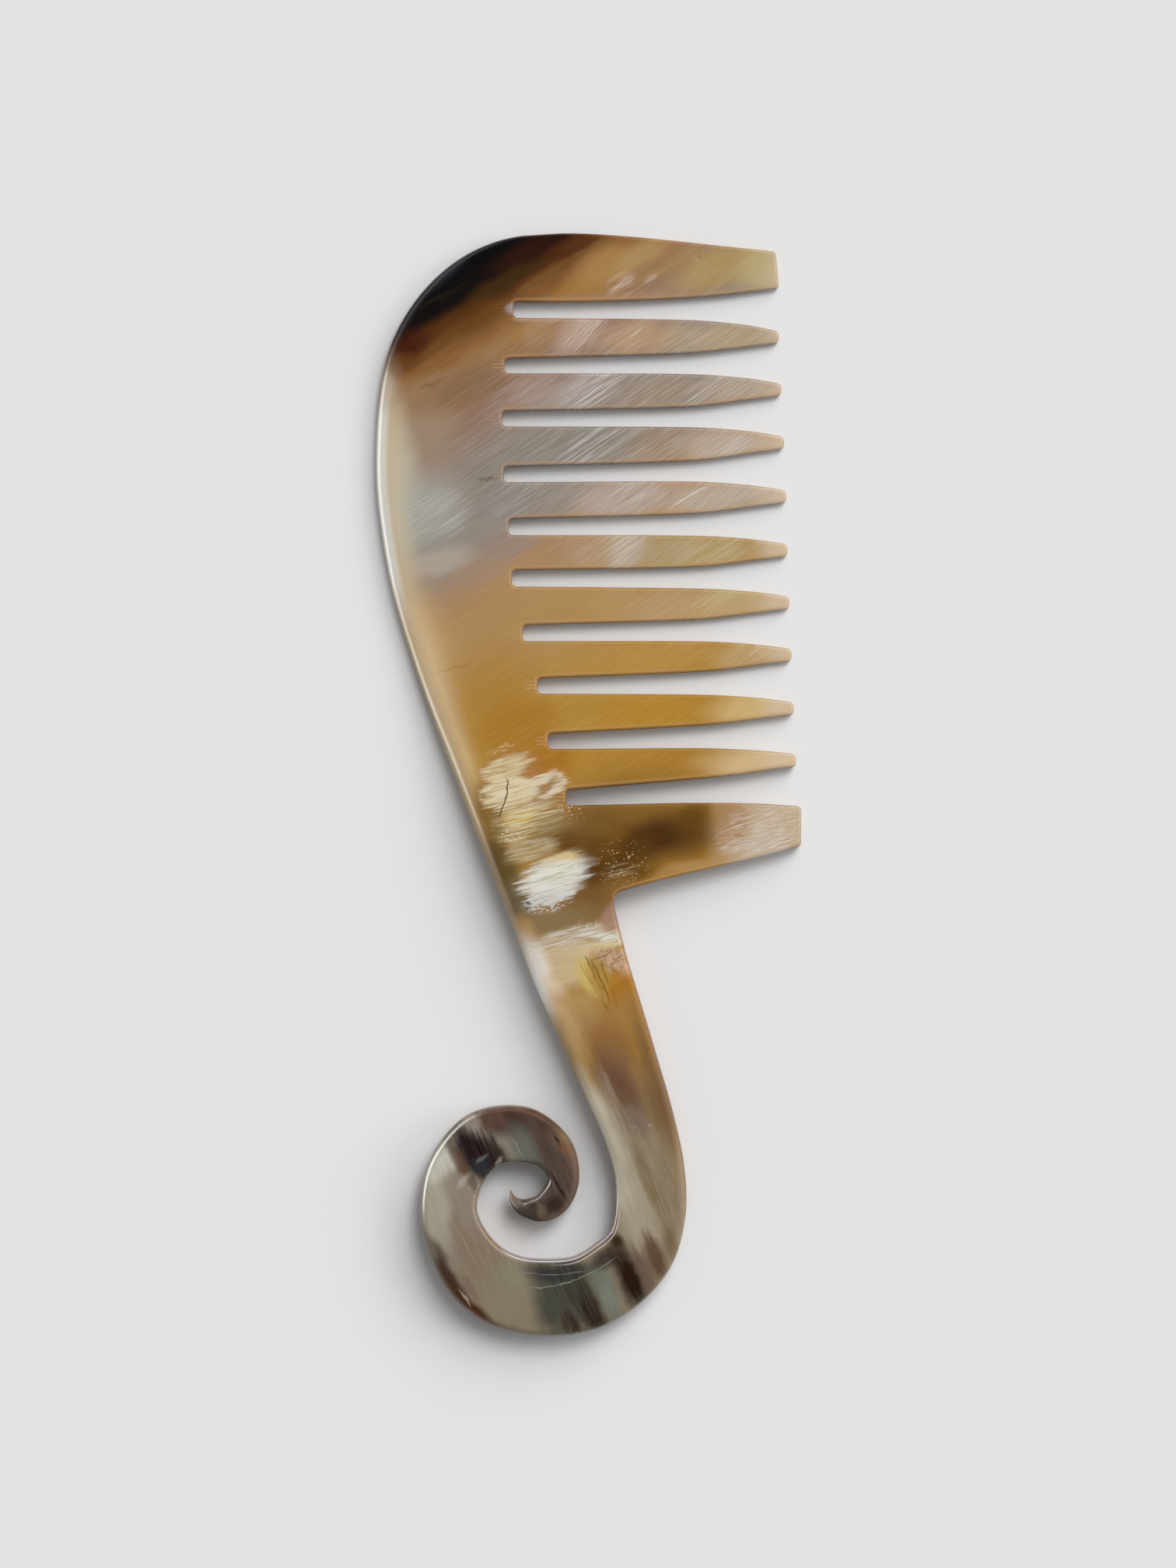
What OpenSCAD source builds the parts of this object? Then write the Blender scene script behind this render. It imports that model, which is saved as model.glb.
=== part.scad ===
// Wide-toothed horn comb with a long handle that ends in an open curl.
// One flat plate of horn, sawn and filed to shape. Millimetres.
// X runs towards the tips of the teeth, Y up the comb, Z through the plate.
// The underside lies on Z = 0, and X = Y = 0 is the middle of the outline's box.

/* [Plate] */
// Thickness of the handle
plate_t = 5.2; // [4:0.1:5.6]
// Thickness of the upper half of the blade
blade_t = 2.4; // [2.2:0.1:3.4]
// Part of the thickness left at the tips of the teeth
tip_part = 0.56; // [0.5:0.02:1]
// How far the rounding of the back reaches in over each face
back_roll = 2.6; // [1.2:0.1:3]
// How far the same rounding drops down the edge
back_drop = 1.5; // [0.6:0.1:1.6]
// Rounding along the outside of the handle and curl
outer_round = 1.3; // [0.6:0.1:1.5]
// Rounding along the inside of the handle and curl
inner_round = 0.9; // [0.4:0.1:1.2]
// Rounding along the flanks of the teeth
tooth_round = 0.5; // [0.2:0.05:0.6]

/* [Teeth] */
// Width of a saw cut at its root, where the table of gaps gives 1
gap_w = 2.45; // [2:0.05:2.7]
// Corner radius at the root of a saw cut
root_r = 0.75; // [0.4:0.05:0.9]
// Half width of an inner tooth at its blunt tip
tip_half = 1.05; // [0.95:0.05:1.15]
// Corner radius at the tip of an inner tooth
tip_r = 0.88; // [0.4:0.04:0.92]
// Corner radius at the square ends of the two guard teeth
end_r = 0.7; // [0.4:0.05:0.9]

/* [Handle] */
// Fillet where the lower guard tooth meets the neck
fillet_r = 1.9; // [1:0.1:1.9]
// How much thicker than its width the hook may be
hook_extra = 1.3; // [0.8:0.1:1.8]

/* [Hidden] */

// Back edge from above the first gap down to the neck: x, y
back = [
    [-10.5, 88.25],
    [-15.5, 87.1],
    [-20.5, 84.7],
    [-25.1, 81.0],
    [-29.1, 76.0],
    [-31.9, 70.4],
    [-33.4, 64.0],
    [-34.1, 56.0],
    [-34.1, 48.0],
    [-33.2, 40.0],
    [-31.5, 31.0],
    [-28.6, 21.0],
    [-25.2, 11.0],
    [-21.4, 1.0],
    [-17.6, -9.0],
    [-14.3, -17.5]
];

// Neck, handle, curl and hook, a row for each section: middle x, middle y, width
arm = [
    [-3.35, -23.2, 16.3],
    [-1.25, -29.8, 15.5],
    [1.9, -38.2, 14.4],
    [4.9, -46.4, 13.35],
    [7.8, -54.4, 12.15],
    [9.7, -62.0, 11.5],
    [9.9, -68.6, 11.5],
    [8.4, -74.4, 11.4],
    [4.7, -78.55, 11.95],
    [-0.4, -81.6, 12.15],
    [-6.6, -82.45, 12.35],
    [-12.6, -81.6, 12.0],
    [-17.5, -78.7, 11.2],
    [-20.9, -74.0, 10.1],
    [-22.5, -68.4, 9.2],
    [-21.3, -62.3, 9.4],
    [-16.8, -57.0, 9.4],
    [-10.2, -56.3, 8.85],
    [-5.4, -59.2, 6.6],
    [-4.0, -63.4, 5.1],
    [-5.1, -66.3, 5.1],
    [-6.6, -67.7, 4.8],
    [-8.2, -68.2, 4.1],
    [-10.3, -68.0, 2.9],
    [-11.4, -67.4, 2.0],
    [-12.1, -66.6, 1.1]
];
// Point of the hook
hook = [-12.6, -65.1];

// Saw cuts from the top down: root x, middle y, width as a part of gap_w
gaps = [
    [-12.1, 76.25, 1.00],
    [-13.5, 67.25, 0.94],
    [-13.9, 58.75, 0.97],
    [-13.6, 49.8, 0.99],
    [-12.8, 41.35, 1.04],
    [-12.3, 33.1, 1.05],
    [-10.6, 24.3, 1.03],
    [-8.2, 15.8, 1.00],
    [-6.5, 6.9, 0.99],
    [-3.6, -2.15, 1.01]
];

// Inner teeth from the top down: tip x, tip y, belly above, belly below
teeth = [
    [30.65, 71.95, 2.75, 2.65],
    [31.05, 63.5, 2.50, 2.80],
    [31.5, 54.95, 2.50, 2.90],
    [31.85, 46.3, 2.40, 2.75],
    [32.05, 37.65, 2.35, 2.70],
    [32.35, 29.2, 2.30, 2.70],
    [32.7, 20.8, 2.20, 2.70],
    [33.05, 12.2, 2.20, 2.70],
    [33.4, 3.85, 1.95, 2.85]
];

// Filed end of an inner tooth: distance from the tip, and how much of the
// belly is there above and below
filed = [
    [14.0, 1.00, 1.00],
    [9.0, 0.80, 0.68],
    [5.0, 0.53, 0.36],
    [2.4, 0.26, 0.16],
    [0.9, 0.08, 0.05]
];

// Guard teeth: x, y of the upper edge, y of the lower edge
top_guard = [
    [-3.0, 88.65, 77.50],
    [6.0, 88.2, 77.70],
    [15.0, 87.35, 78.10],
    [22.5, 86.55, 78.70],
    [27.5, 86.05, 79.35]
];
low_guard = [
    [8.5, -3.12, -16.25],
    [14.0, -3.0, -14.85],
    [20.0, -2.98, -13.45],
    [26.0, -3.06, -12.1],
    [31.0, -3.28, -10.8]
];
// Corners of the guard teeth: x, y of the upper one and of the lower one
top_end = [[30.15, 85.75], [30.7, 79.75]];
low_end = [[34.2, -3.55], [34.2, -9.85]];

// Steps between two rows of a table
back_steps = 3;
arm_steps = 4;
flank_steps = [3, 2, 2, 2, 1];
// Steps around a root corner and around the corner of a tip
root_steps = 4;
tip_steps = 4;

// ---- helpers ---------------------------------------------------------------

function lerp(a, b, t) = a + (b - a) * t;
function sum(v, i = 0) = i >= len(v) ? 0 : v[i] + sum(v, i + 1);
function unit(v) = v / norm(v);
// Smooth curve through p1 and p2, with its spacing taken from all four points
function knot(t, a, b) = t + sqrt(max(norm(b - a), 1e-6));
function blend(a, b, ta, tb, u) = a * (tb - u) / (tb - ta) + b * (u - ta) / (tb - ta);
function curve4(p0, p1, p2, p3, t) =
    let (t1 = knot(0, p0, p1), t2 = knot(t1, p1, p2), t3 = knot(t2, p2, p3),
         u = lerp(t1, t2, t),
         a1 = blend(p0, p1, 0, t1, u),
         a2 = blend(p1, p2, t1, t2, u),
         a3 = blend(p2, p3, t2, t3, u),
         b1 = blend(a1, a2, 0, t2, u),
         b2 = blend(a2, a3, t1, t3, u))
    blend(b1, b2, t1, t2, u);
function before(k, i) = i > 0 ? k[i - 1] : 2 * k[0] - k[1];
function after(k, i) = i + 2 < len(k) ? k[i + 2] : 2 * k[len(k) - 1] - k[len(k) - 2];
// Points of the curve through knots first..last, the last knot left out
function run(k, first, last, steps) = [
    for (i = [first : last - 1])
        let (m = is_list(steps) ? steps[i - first] : steps)
            for (s = [0 : m - 1]) curve4(before(k, i), k[i], k[i + 1], after(k, i), s / m)
];
// Arc that rounds the corner c between points a and b, both ends included
function corner(a, c, b, r, steps) =
    let (u = unit(a - c), v = unit(b - c),
         half = acos(max(-1, min(1, u * v))) / 2,
         mid = c + unit(u + v) * r / sin(half),
         p = c + u * r / tan(half), q = c + v * r / tan(half),
         a0 = atan2(p[1] - mid[1], p[0] - mid[0]),
         a1 = atan2(q[1] - mid[1], q[0] - mid[0]),
         d = a1 - a0 > 180 ? a1 - a0 - 360 : a1 - a0 < -180 ? a1 - a0 + 360 : a1 - a0)
    [for (s = [0 : steps]) mid + r * [cos(a0 + d * s / steps), sin(a0 + d * s / steps)]];
function turned(v) = [for (i = [len(v) - 1 : -1 : 0]) v[i]];

// ---- handle and curl -------------------------------------------------------

function mid_of(i) = [arm[i][0], arm[i][1]];
function along(i) = unit((i + 1 < len(arm) ? mid_of(i + 1) : hook) - (i > 0 ? mid_of(i - 1) : mid_of(0)));
// Inner side of the curl (s = 1) and outer side (s = -1)
function side(i, s) = mid_of(i) + s * arm[i][2] / 2 * [along(i)[1], -along(i)[0]];
inner_knots = concat(back, [for (i = [0 : len(arm) - 1]) side(i, 1)], [hook]);
outer_knots = concat([for (i = [0 : len(arm) - 1]) side(i, -1)], [hook]);
n_back = len(back);
arm_in = run(inner_knots, n_back, len(inner_knots) - 1, arm_steps);
arm_out = run(outer_knots, 0, len(outer_knots) - 1, arm_steps);
arm_w = [for (i = [0 : len(arm_in) - 1]) norm(arm_in[i] - arm_out[i])];

// ---- teeth -----------------------------------------------------------------

function belly(part, full) = tip_half + (full - tip_half) * part;
// Upper and lower flank of tooth k as knots, from its root outward
function root_low(g) = [gaps[g][0] + root_r, gaps[g][1] - gaps[g][2] * gap_w / 2];
function root_up(g) = [gaps[g][0] + root_r, gaps[g][1] + gaps[g][2] * gap_w / 2];
top_root = back[0];
low_root = [6.3, -16.92];
function upper(k) =
    k == 0 ? concat([top_root], [for (r = top_guard) [r[0], r[1]]]) :
    k == 10 ? concat([root_low(9)], [for (r = low_guard) [r[0], r[1]]]) :
    let (t = teeth[k - 1])
        concat([root_low(k - 1)], [for (f = filed) [t[0] - f[0], t[1] + belly(f[1], t[2])]]);
function lower(k) =
    k == 0 ? concat([root_up(0)], [for (r = top_guard) [r[0], r[2]]]) :
    k == 10 ? concat([low_root], [for (r = low_guard) [r[0], r[2]]]) :
    let (t = teeth[k - 1])
        concat([root_up(k)], [for (f = filed) [t[0] - f[0], t[1] - belly(f[2], t[3])]]);
function high_corner(k) = k == 0 ? top_end[0] : k == 10 ? low_end[0] : [teeth[k - 1][0], teeth[k - 1][1] + tip_half * 0.98];
function low_corner(k) = k == 0 ? top_end[1] : k == 10 ? low_end[1] : [teeth[k - 1][0], teeth[k - 1][1] - tip_half * 0.98];
function end_of(k) = k == 0 || k == 10 ? end_r : tip_r;
function last(v) = v[len(v) - 1];
// One flank from the root out to just before the middle of the tip
function flank(knots, c, other, r) = concat(
    run(concat(knots, [c]), 0, len(knots) - 1, flank_steps),
    [last(knots)],
    corner(last(knots), c, other, r, tip_steps));
function up_flank(k) = flank(upper(k), high_corner(k), low_corner(k), end_of(k));
function low_flank(k) = flank(lower(k), low_corner(k), high_corner(k), end_of(k));
function tip_mid(k) = (high_corner(k) + low_corner(k)) / 2;
n_flank = sum(flank_steps) + 1 + tip_steps + 1;

// Round end of saw cut g from its lower edge up to its upper edge, ends left out
function root_end(g) =
    let (x = gaps[g][0], y = gaps[g][1], h = gaps[g][2] * gap_w / 2,
         lo = corner([x + 5, y - h], [x, y - h], [x, y], root_r, root_steps),
         hi = corner([x, y], [x, y + h], [x + 5, y + h], root_r, root_steps))
    concat([for (i = [1 : root_steps]) lo[i]], [for (i = [0 : root_steps - 1]) hi[i]]);
n_root = 2 * root_steps;

// ---- outline: each point is x, y, roll over the face, drop down the edge,
// ---- half thickness there

half_t = plate_t / 2;
// The plate thins from the neck up to the middle teeth
thin_from = -18;
thin_to = 26;
function ease(t) = t * t * (3 - 2 * t);
function half_of(y) = lerp(plate_t, blade_t, ease(max(0, min(1, (y - thin_from) / (thin_to - thin_from))))) / 2;
function flat(p, r, d) = let (h = half_of(p[1])) [p[0], p[1], r, min(d, 0.8 * h), h];
// The teeth get thinner from their roots to their tips
function tooth_pt(p, k, r) =
    let (t = tip_mid(k)[0], s = max(k > 0 ? gaps[k - 1][0] : -20, k < 10 ? gaps[k][0] : 6) + root_r,
         f = max(0, min(1, (p[0] - s) / (t - s))))
    [p[0], p[1], r, r, half_of(p[1]) * lerp(1, tip_part, f)];
// The hook gets thinner as it gets narrower, from both faces
function arm_pt(p, w, r) =
    let (h = min(half_t, (w + hook_extra) / 2))
        [p[0], p[1], min(r, 0.4 * w), min(r, 0.4 * w, 0.8 * h), h];

left_blade = [for (i = [1 : len(back) * back_steps - 1])
    let (k = floor(i / back_steps), s = (i % back_steps) / back_steps,
         f = min(1, i / (5 * back_steps)))
    flat(curve4(k > 0 ? inner_knots[k - 1] : [top_guard[0][0], top_guard[0][1]],
                inner_knots[k], inner_knots[k + 1], inner_knots[k + 2], s),
         lerp(tooth_round, back_roll, f), lerp(tooth_round, back_drop, f))];
n_left = len(left_blade);
n_arm = len(arm_in);
// Rounding eases from the back's to the inner side's along the neck
arm_left = [for (i = [0 : n_arm - 1])
    let (q = arm_pt(arm_in[i], arm_w[i], inner_round), f = max(0, 1 - i / (6 * arm_steps)))
    [q[0], q[1], lerp(q[2], back_roll, f), lerp(q[3], min(back_drop, 0.8 * half_t), f), q[4]]];
arm_right = [for (i = [n_arm - 1 : -1 : 0])
    arm_pt(arm_out[i], arm_w[i], lerp(0.7, outer_round, min(1, i / (3 * arm_steps))))];
neck_corner =
    let (a = arm_out[0], u = unit(arm_out[0] - arm_out[1]),
         b = low_root, v = unit([low_guard[0][0], low_guard[0][2]] - low_root),
         d = b - a, k = (d[0] * v[1] - d[1] * v[0]) / (u[0] * v[1] - u[1] * v[0]))
    a + u * k;
n_fillet = 6;
fillet = [for (p = corner(arm_out[0], neck_corner, low_root, fillet_r, n_fillet - 1)) flat(p, 0.6, 0.6)];
// Tooth k from the root of its lower flank, round the tip, to the root of the upper one
function tooth_loop(k) = concat(
    [for (p = low_flank(k)) tooth_pt(p, k, tooth_round)],
    [tooth_pt(tip_mid(k), k, tooth_round)],
    [for (p = turned(up_flank(k))) tooth_pt(p, k, tooth_round)]);
n_tooth = 2 * n_flank + 1;

outline = concat(
    left_blade, arm_left, [arm_pt(hook, 0.3, 0.1)], arm_right, fillet,
    [for (k = [10 : -1 : 0])
        each concat(tooth_loop(k), k > 0 ? [for (p = root_end(k - 1)) flat(p, tooth_round, tooth_round)] : [])]);
n = len(outline);

// ---- places in the outline -------------------------------------------------

i_arm = n_left;
i_hook = n_left + n_arm;
i_fillet = i_hook + 1 + n_arm;
i_teeth = i_fillet + n_fillet;
function tooth_at(k) = i_teeth + (10 - k) * (n_tooth + n_root);
function low_i(k, i) = tooth_at(k) + i;
function up_i(k, i) = tooth_at(k) + n_tooth - 1 - i;
function arm_l(i) = i_arm + i;
function arm_r(i) = i_hook + 1 + (n_arm - 1 - i);

// Blade between the back edge and the roots of the teeth, both from the top down
chain_back = concat([up_i(0, 0)], [for (i = [0 : n_left - 1]) i], [arm_l(0)]);
chain_roots = concat(
    [for (g = [0 : 9]) each concat([low_i(g, 0)],
        [for (i = [0 : n_root - 1]) tooth_at(g) - 1 - i], [up_i(g + 1, 0)])],
    [low_i(10, 0)],
    [for (i = [n_fillet - 1 : -1 : 0]) i_fillet + i],
    [arm_r(0)]);
function lace(a, b, i = 0, j = 0, out = []) =
    i == len(a) - 1 && j == len(b) - 1 ? out :
    i < len(a) - 1 && (j == len(b) - 1 || outline[a[i + 1]][1] > outline[b[j + 1]][1])
        ? lace(a, b, i + 1, j, concat(out, [[a[i], a[i + 1], b[j]]]))
        : lace(a, b, i, j + 1, concat(out, [[a[i], b[j + 1], b[j]]]));

tooth_faces = [for (k = [0 : 10]) each concat(
    [for (i = [0 : n_flank - 2]) each [
        [low_i(k, i), low_i(k, i + 1), up_i(k, i + 1)],
        [low_i(k, i), up_i(k, i + 1), up_i(k, i)]]],
    [[low_i(k, n_flank - 1), low_i(k, n_flank), up_i(k, n_flank - 1)]])];
arm_faces = concat(
    [for (i = [0 : n_arm - 2]) each [
        [arm_l(i), arm_l(i + 1), arm_r(i + 1)],
        [arm_l(i), arm_r(i + 1), arm_r(i)]]],
    [[arm_l(n_arm - 1), i_hook, arm_r(n_arm - 1)]]);
cap = concat(lace(chain_back, chain_roots), tooth_faces, arm_faces);

// ---- solid -----------------------------------------------------------------

// Rings from the underside to the top: part of the rounding that is cut in,
// part of it that is climbed, and which face they belong to
rings = [
    [1, 1, -1],
    [1 - cos(45), sin(45), -1],
    [0, 0, -1],
    [0, 0, 1],
    [1 - cos(45), sin(45), 1],
    [1, 1, 1]
];
function inward(i) =
    let (a = outline[(i + n - 1) % n], b = outline[(i + 1) % n],
         p = outline[i],
         u = unit([p[0] - a[0], p[1] - a[1]]), v = unit([b[0] - p[0], b[1] - p[1]]),
         d = unit(u + v))
    [-d[1], d[0]];
inwards = [for (i = [0 : n - 1]) inward(i)];
// Height of the middle of the plate: the blade and teeth are thinned from the top face alone
function mid_z(p) = p[1] < thin_from ? half_t : p[4];
points = [for (g = rings) for (i = [0 : n - 1])
    let (p = outline[i], w = inwards[i] * p[2] * g[0])
    [p[0] + w[0], p[1] + w[1], mid_z(p) + g[2] * (p[4] - p[3] + p[3] * g[1])]];
walls = [for (g = [0 : len(rings) - 2]) for (i = [0 : n - 1])
    let (j = (i + 1) % n, a = g * n, b = (g + 1) * n)
    each [[a + i, b + i, b + j], [a + i, b + j, a + j]]];
top_ring = (len(rings) - 1) * n;

module comb() {
    color([0.66, 0.50, 0.28])
    polyhedron(
        points = points,
        faces = concat(
            cap,
            [for (f = cap) [top_ring + f[0], top_ring + f[2], top_ring + f[1]]],
            walls),
        convexity = 12);
}

comb();
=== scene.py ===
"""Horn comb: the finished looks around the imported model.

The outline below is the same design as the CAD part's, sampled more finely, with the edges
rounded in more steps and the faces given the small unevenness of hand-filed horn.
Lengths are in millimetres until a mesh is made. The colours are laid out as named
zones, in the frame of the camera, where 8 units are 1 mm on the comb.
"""

import math

import bpy
import numpy as np
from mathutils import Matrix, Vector
from mathutils.geometry import delaunay_2d_cdt
from mathutils.kdtree import KDTree


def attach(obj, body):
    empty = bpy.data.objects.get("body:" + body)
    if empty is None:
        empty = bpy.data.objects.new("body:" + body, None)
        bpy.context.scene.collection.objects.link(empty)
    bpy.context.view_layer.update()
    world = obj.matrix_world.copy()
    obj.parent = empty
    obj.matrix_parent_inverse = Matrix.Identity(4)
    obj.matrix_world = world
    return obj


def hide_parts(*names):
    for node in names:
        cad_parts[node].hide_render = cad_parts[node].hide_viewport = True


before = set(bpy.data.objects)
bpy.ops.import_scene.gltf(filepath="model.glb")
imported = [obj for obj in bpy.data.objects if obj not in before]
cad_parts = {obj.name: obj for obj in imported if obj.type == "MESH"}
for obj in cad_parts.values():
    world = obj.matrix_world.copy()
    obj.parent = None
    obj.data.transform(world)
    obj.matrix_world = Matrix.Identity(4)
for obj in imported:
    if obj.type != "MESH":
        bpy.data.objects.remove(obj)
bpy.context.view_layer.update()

MM = 0.001

# ---------------------------------------------------------------------------
# The comb's outline
# ---------------------------------------------------------------------------

PLATE_T, BLADE_T, TIP_PART = 5.2, 2.4, 0.56
THIN_FROM, THIN_TO = -18, 26
BACK_ROLL, BACK_DROP = 2.6, 1.5
OUTER_ROUND, INNER_ROUND, TOOTH_ROUND = 1.3, 0.9, 0.5
GAP_W, ROOT_R = 2.45, 0.75
TIP_HALF, TIP_R, END_R = 1.05, 0.88, 0.7
FILLET_R, HOOK_EXTRA = 1.9, 1.3

# Back edge from above the first gap down to the neck: x, y
BACK = [
    (-10.5, 88.25), (-15.5, 87.1), (-20.5, 84.7), (-25.1, 81.0), (-29.1, 76.0), (-31.9, 70.4),
    (-33.4, 64.0), (-34.1, 56.0), (-34.1, 48.0), (-33.2, 40.0), (-31.5, 31.0), (-28.6, 21.0),
    (-25.2, 11.0), (-21.4, 1.0), (-17.6, -9.0), (-14.3, -17.5),
]
# Neck, handle, curl and hook: middle x, middle y, width
ARM = [
    (-3.35, -23.2, 16.3), (-1.25, -29.8, 15.5), (1.9, -38.2, 14.4), (4.9, -46.4, 13.35),
    (7.8, -54.4, 12.15), (9.7, -62.0, 11.5), (9.9, -68.6, 11.5), (8.4, -74.4, 11.4),
    (4.7, -78.55, 11.95), (-0.4, -81.6, 12.15), (-6.6, -82.45, 12.35), (-12.6, -81.6, 12.0),
    (-17.5, -78.7, 11.2), (-20.9, -74.0, 10.1), (-22.5, -68.4, 9.2), (-21.3, -62.3, 9.4),
    (-16.8, -57.0, 9.4), (-10.2, -56.3, 8.85), (-5.4, -59.2, 6.6), (-4.0, -63.4, 5.1),
    (-5.1, -66.3, 5.1), (-6.6, -67.7, 4.8), (-8.2, -68.2, 4.1), (-10.3, -68.0, 2.9),
    (-11.4, -67.4, 2.0), (-12.1, -66.6, 1.1),
]
HOOK = (-12.6, -65.1)
# Saw cuts from the top down: root x, middle y, width as a part of GAP_W
GAPS = [
    (-12.1, 76.25, 1.00), (-13.5, 67.25, 0.94), (-13.9, 58.75, 0.97), (-13.6, 49.8, 0.99),
    (-12.8, 41.35, 1.04), (-12.3, 33.1, 1.05), (-10.6, 24.3, 1.03), (-8.2, 15.8, 1.00),
    (-6.5, 6.9, 0.99), (-3.6, -2.15, 1.01),
]
# Inner teeth from the top down: tip x, tip y, belly above, belly below
TEETH = [
    (30.65, 71.95, 2.75, 2.65), (31.05, 63.5, 2.50, 2.80), (31.5, 54.95, 2.50, 2.90),
    (31.85, 46.3, 2.40, 2.75), (32.05, 37.65, 2.35, 2.70), (32.35, 29.2, 2.30, 2.70),
    (32.7, 20.8, 2.20, 2.70), (33.05, 12.2, 2.20, 2.70), (33.4, 3.85, 1.95, 2.85),
]
# Filed end of an inner tooth: distance from the tip, part of the belly above and below
FILED = [(14.0, 1.00, 1.00), (9.0, 0.80, 0.68), (5.0, 0.53, 0.36), (2.4, 0.26, 0.16), (0.9, 0.08, 0.05)]
# Guard teeth: x, y of the upper edge, y of the lower edge
TOP_GUARD = [(-3.0, 88.65, 77.50), (6.0, 88.2, 77.70), (15.0, 87.35, 78.10), (22.5, 86.55, 78.70), (27.5, 86.05, 79.35)]
LOW_GUARD = [(8.5, -3.12, -16.25), (14.0, -3.0, -14.85), (20.0, -2.98, -13.45), (26.0, -3.06, -12.1), (31.0, -3.28, -10.8)]
TOP_END = [(30.15, 85.75), (30.7, 79.75)]
LOW_END = [(34.2, -3.55), (34.2, -9.85)]
LOW_ROOT = (6.3, -16.92)

BEVEL_STEPS = 7  # around each rounded edge
FACE_STEP, UNDER_STEP = 0.62, 1.3  # spacing of the points across the top and the underside

# Light: strength of the key and its width in degrees, room at the sides and above, edge strip
KEY, KEY_WIDTH, KEY_FROM, KEY_UP = 1.10, 28, 62, 56
OVERHEAD, LOW, SIDE = 0.34, 1.62, 0.90
SKY_SIDE, SKY_TOP = 0.29, 0.05
STRIP, WINDOW = 1.0, 1.0
# Strength of the fibres all over: fine and middle
FINE_SHARE, MIDDLE_SHARE = 0.085, 0.10

half_t = PLATE_T / 2


def vec(p):
    return np.array(p, float)


def unit(v):
    return v / np.linalg.norm(v)


def curve4(p0, p1, p2, p3, t):
    """Point on the smooth curve between p1 and p2."""

    def knot(s, a, b):
        return s + math.sqrt(max(np.linalg.norm(b - a), 1e-6))

    t1 = knot(0, p0, p1)
    t2 = knot(t1, p1, p2)
    t3 = knot(t2, p2, p3)
    u = t1 + (t2 - t1) * t

    def mix(a, b, ta, tb):
        return a * (tb - u) / (tb - ta) + b * (u - ta) / (tb - ta)

    a1, a2, a3 = mix(p0, p1, 0, t1), mix(p1, p2, t1, t2), mix(p2, p3, t2, t3)
    b1, b2 = mix(a1, a2, 0, t2), mix(a2, a3, t1, t3)
    return mix(b1, b2, t1, t2)


def run(knots, first, last, steps):
    """Points of the curve through knots first..last, the last knot left out."""
    k = [vec(p) for p in knots]
    out = []
    for i in range(first, last):
        before = k[i - 1] if i > 0 else 2 * k[0] - k[1]
        after = k[i + 2] if i + 2 < len(k) else 2 * k[-1] - k[-2]
        m = steps(i, np.linalg.norm(k[i + 1] - k[i]))
        out += [curve4(before, k[i], k[i + 1], after, s / m) for s in range(m)]
    return out


def corner(a, c, b, r, steps):
    """Arc that rounds the corner c between a and b."""
    a, c, b = vec(a), vec(c), vec(b)
    u, v = unit(a - c), unit(b - c)
    half = math.acos(max(-1, min(1, float(u @ v)))) / 2
    mid = c + unit(u + v) * r / math.sin(half)
    p, q = c + u * r / math.tan(half) - mid, c + v * r / math.tan(half) - mid
    a0, a1 = math.atan2(p[1], p[0]), math.atan2(q[1], q[0])
    d = (a1 - a0 + math.pi) % (2 * math.pi) - math.pi
    return [mid + r * vec((math.cos(a0 + d * s / steps), math.sin(a0 + d * s / steps))) for s in range(steps + 1)]


def spaced(step):
    return lambda i, length: max(2, math.ceil(length / step))


# Handle and curl: both sides worked out from the middle and the width
mids = [vec(a[:2]) for a in ARM]
ways = [unit((mids[i + 1] if i + 1 < len(ARM) else vec(HOOK)) - (mids[i - 1] if i else mids[0])) for i in range(len(ARM))]


def side(i, s):
    return mids[i] + s * ARM[i][2] / 2 * vec((ways[i][1], -ways[i][0]))


inner_knots = [vec(p) for p in BACK] + [side(i, 1) for i in range(len(ARM))] + [vec(HOOK)]
outer_knots = [side(i, -1) for i in range(len(ARM))] + [vec(HOOK)]
n_back = len(BACK)
arm_counts = [max(3, math.ceil(max(np.linalg.norm(outer_knots[i + 1] - outer_knots[i]), np.linalg.norm(inner_knots[n_back + i + 1] - inner_knots[n_back + i])) / (0.6 if i < 17 else 0.34))) for i in range(len(ARM))]
arm_in = run(inner_knots, n_back, len(inner_knots) - 1, lambda i, d: arm_counts[i - n_back])
arm_out = run(outer_knots, 0, len(outer_knots) - 1, lambda i, d: arm_counts[i])
arm_w = [float(np.linalg.norm(a - b)) for a, b in zip(arm_in, arm_out)]
arm_at = [i + s / arm_counts[i] for i in range(len(ARM)) for s in range(arm_counts[i])]


def lerp(a, b, t):
    return a + (b - a) * t


def belly(part, full):
    return TIP_HALF + (full - TIP_HALF) * part


def root(g, s):
    return (GAPS[g][0] + ROOT_R, GAPS[g][1] + s * GAPS[g][2] * GAP_W / 2)


def upper(k):
    if k == 0:
        return [BACK[0]] + [(r[0], r[1]) for r in TOP_GUARD]
    if k == 10:
        return [root(9, -1)] + [(r[0], r[1]) for r in LOW_GUARD]
    t = TEETH[k - 1]
    return [root(k - 1, -1)] + [(t[0] - f[0], t[1] + belly(f[1], t[2])) for f in FILED]


def lower(k):
    if k == 0:
        return [root(0, 1)] + [(r[0], r[2]) for r in TOP_GUARD]
    if k == 10:
        return [LOW_ROOT] + [(r[0], r[2]) for r in LOW_GUARD]
    t = TEETH[k - 1]
    return [root(k, 1)] + [(t[0] - f[0], t[1] - belly(f[2], t[3])) for f in FILED]


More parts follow.
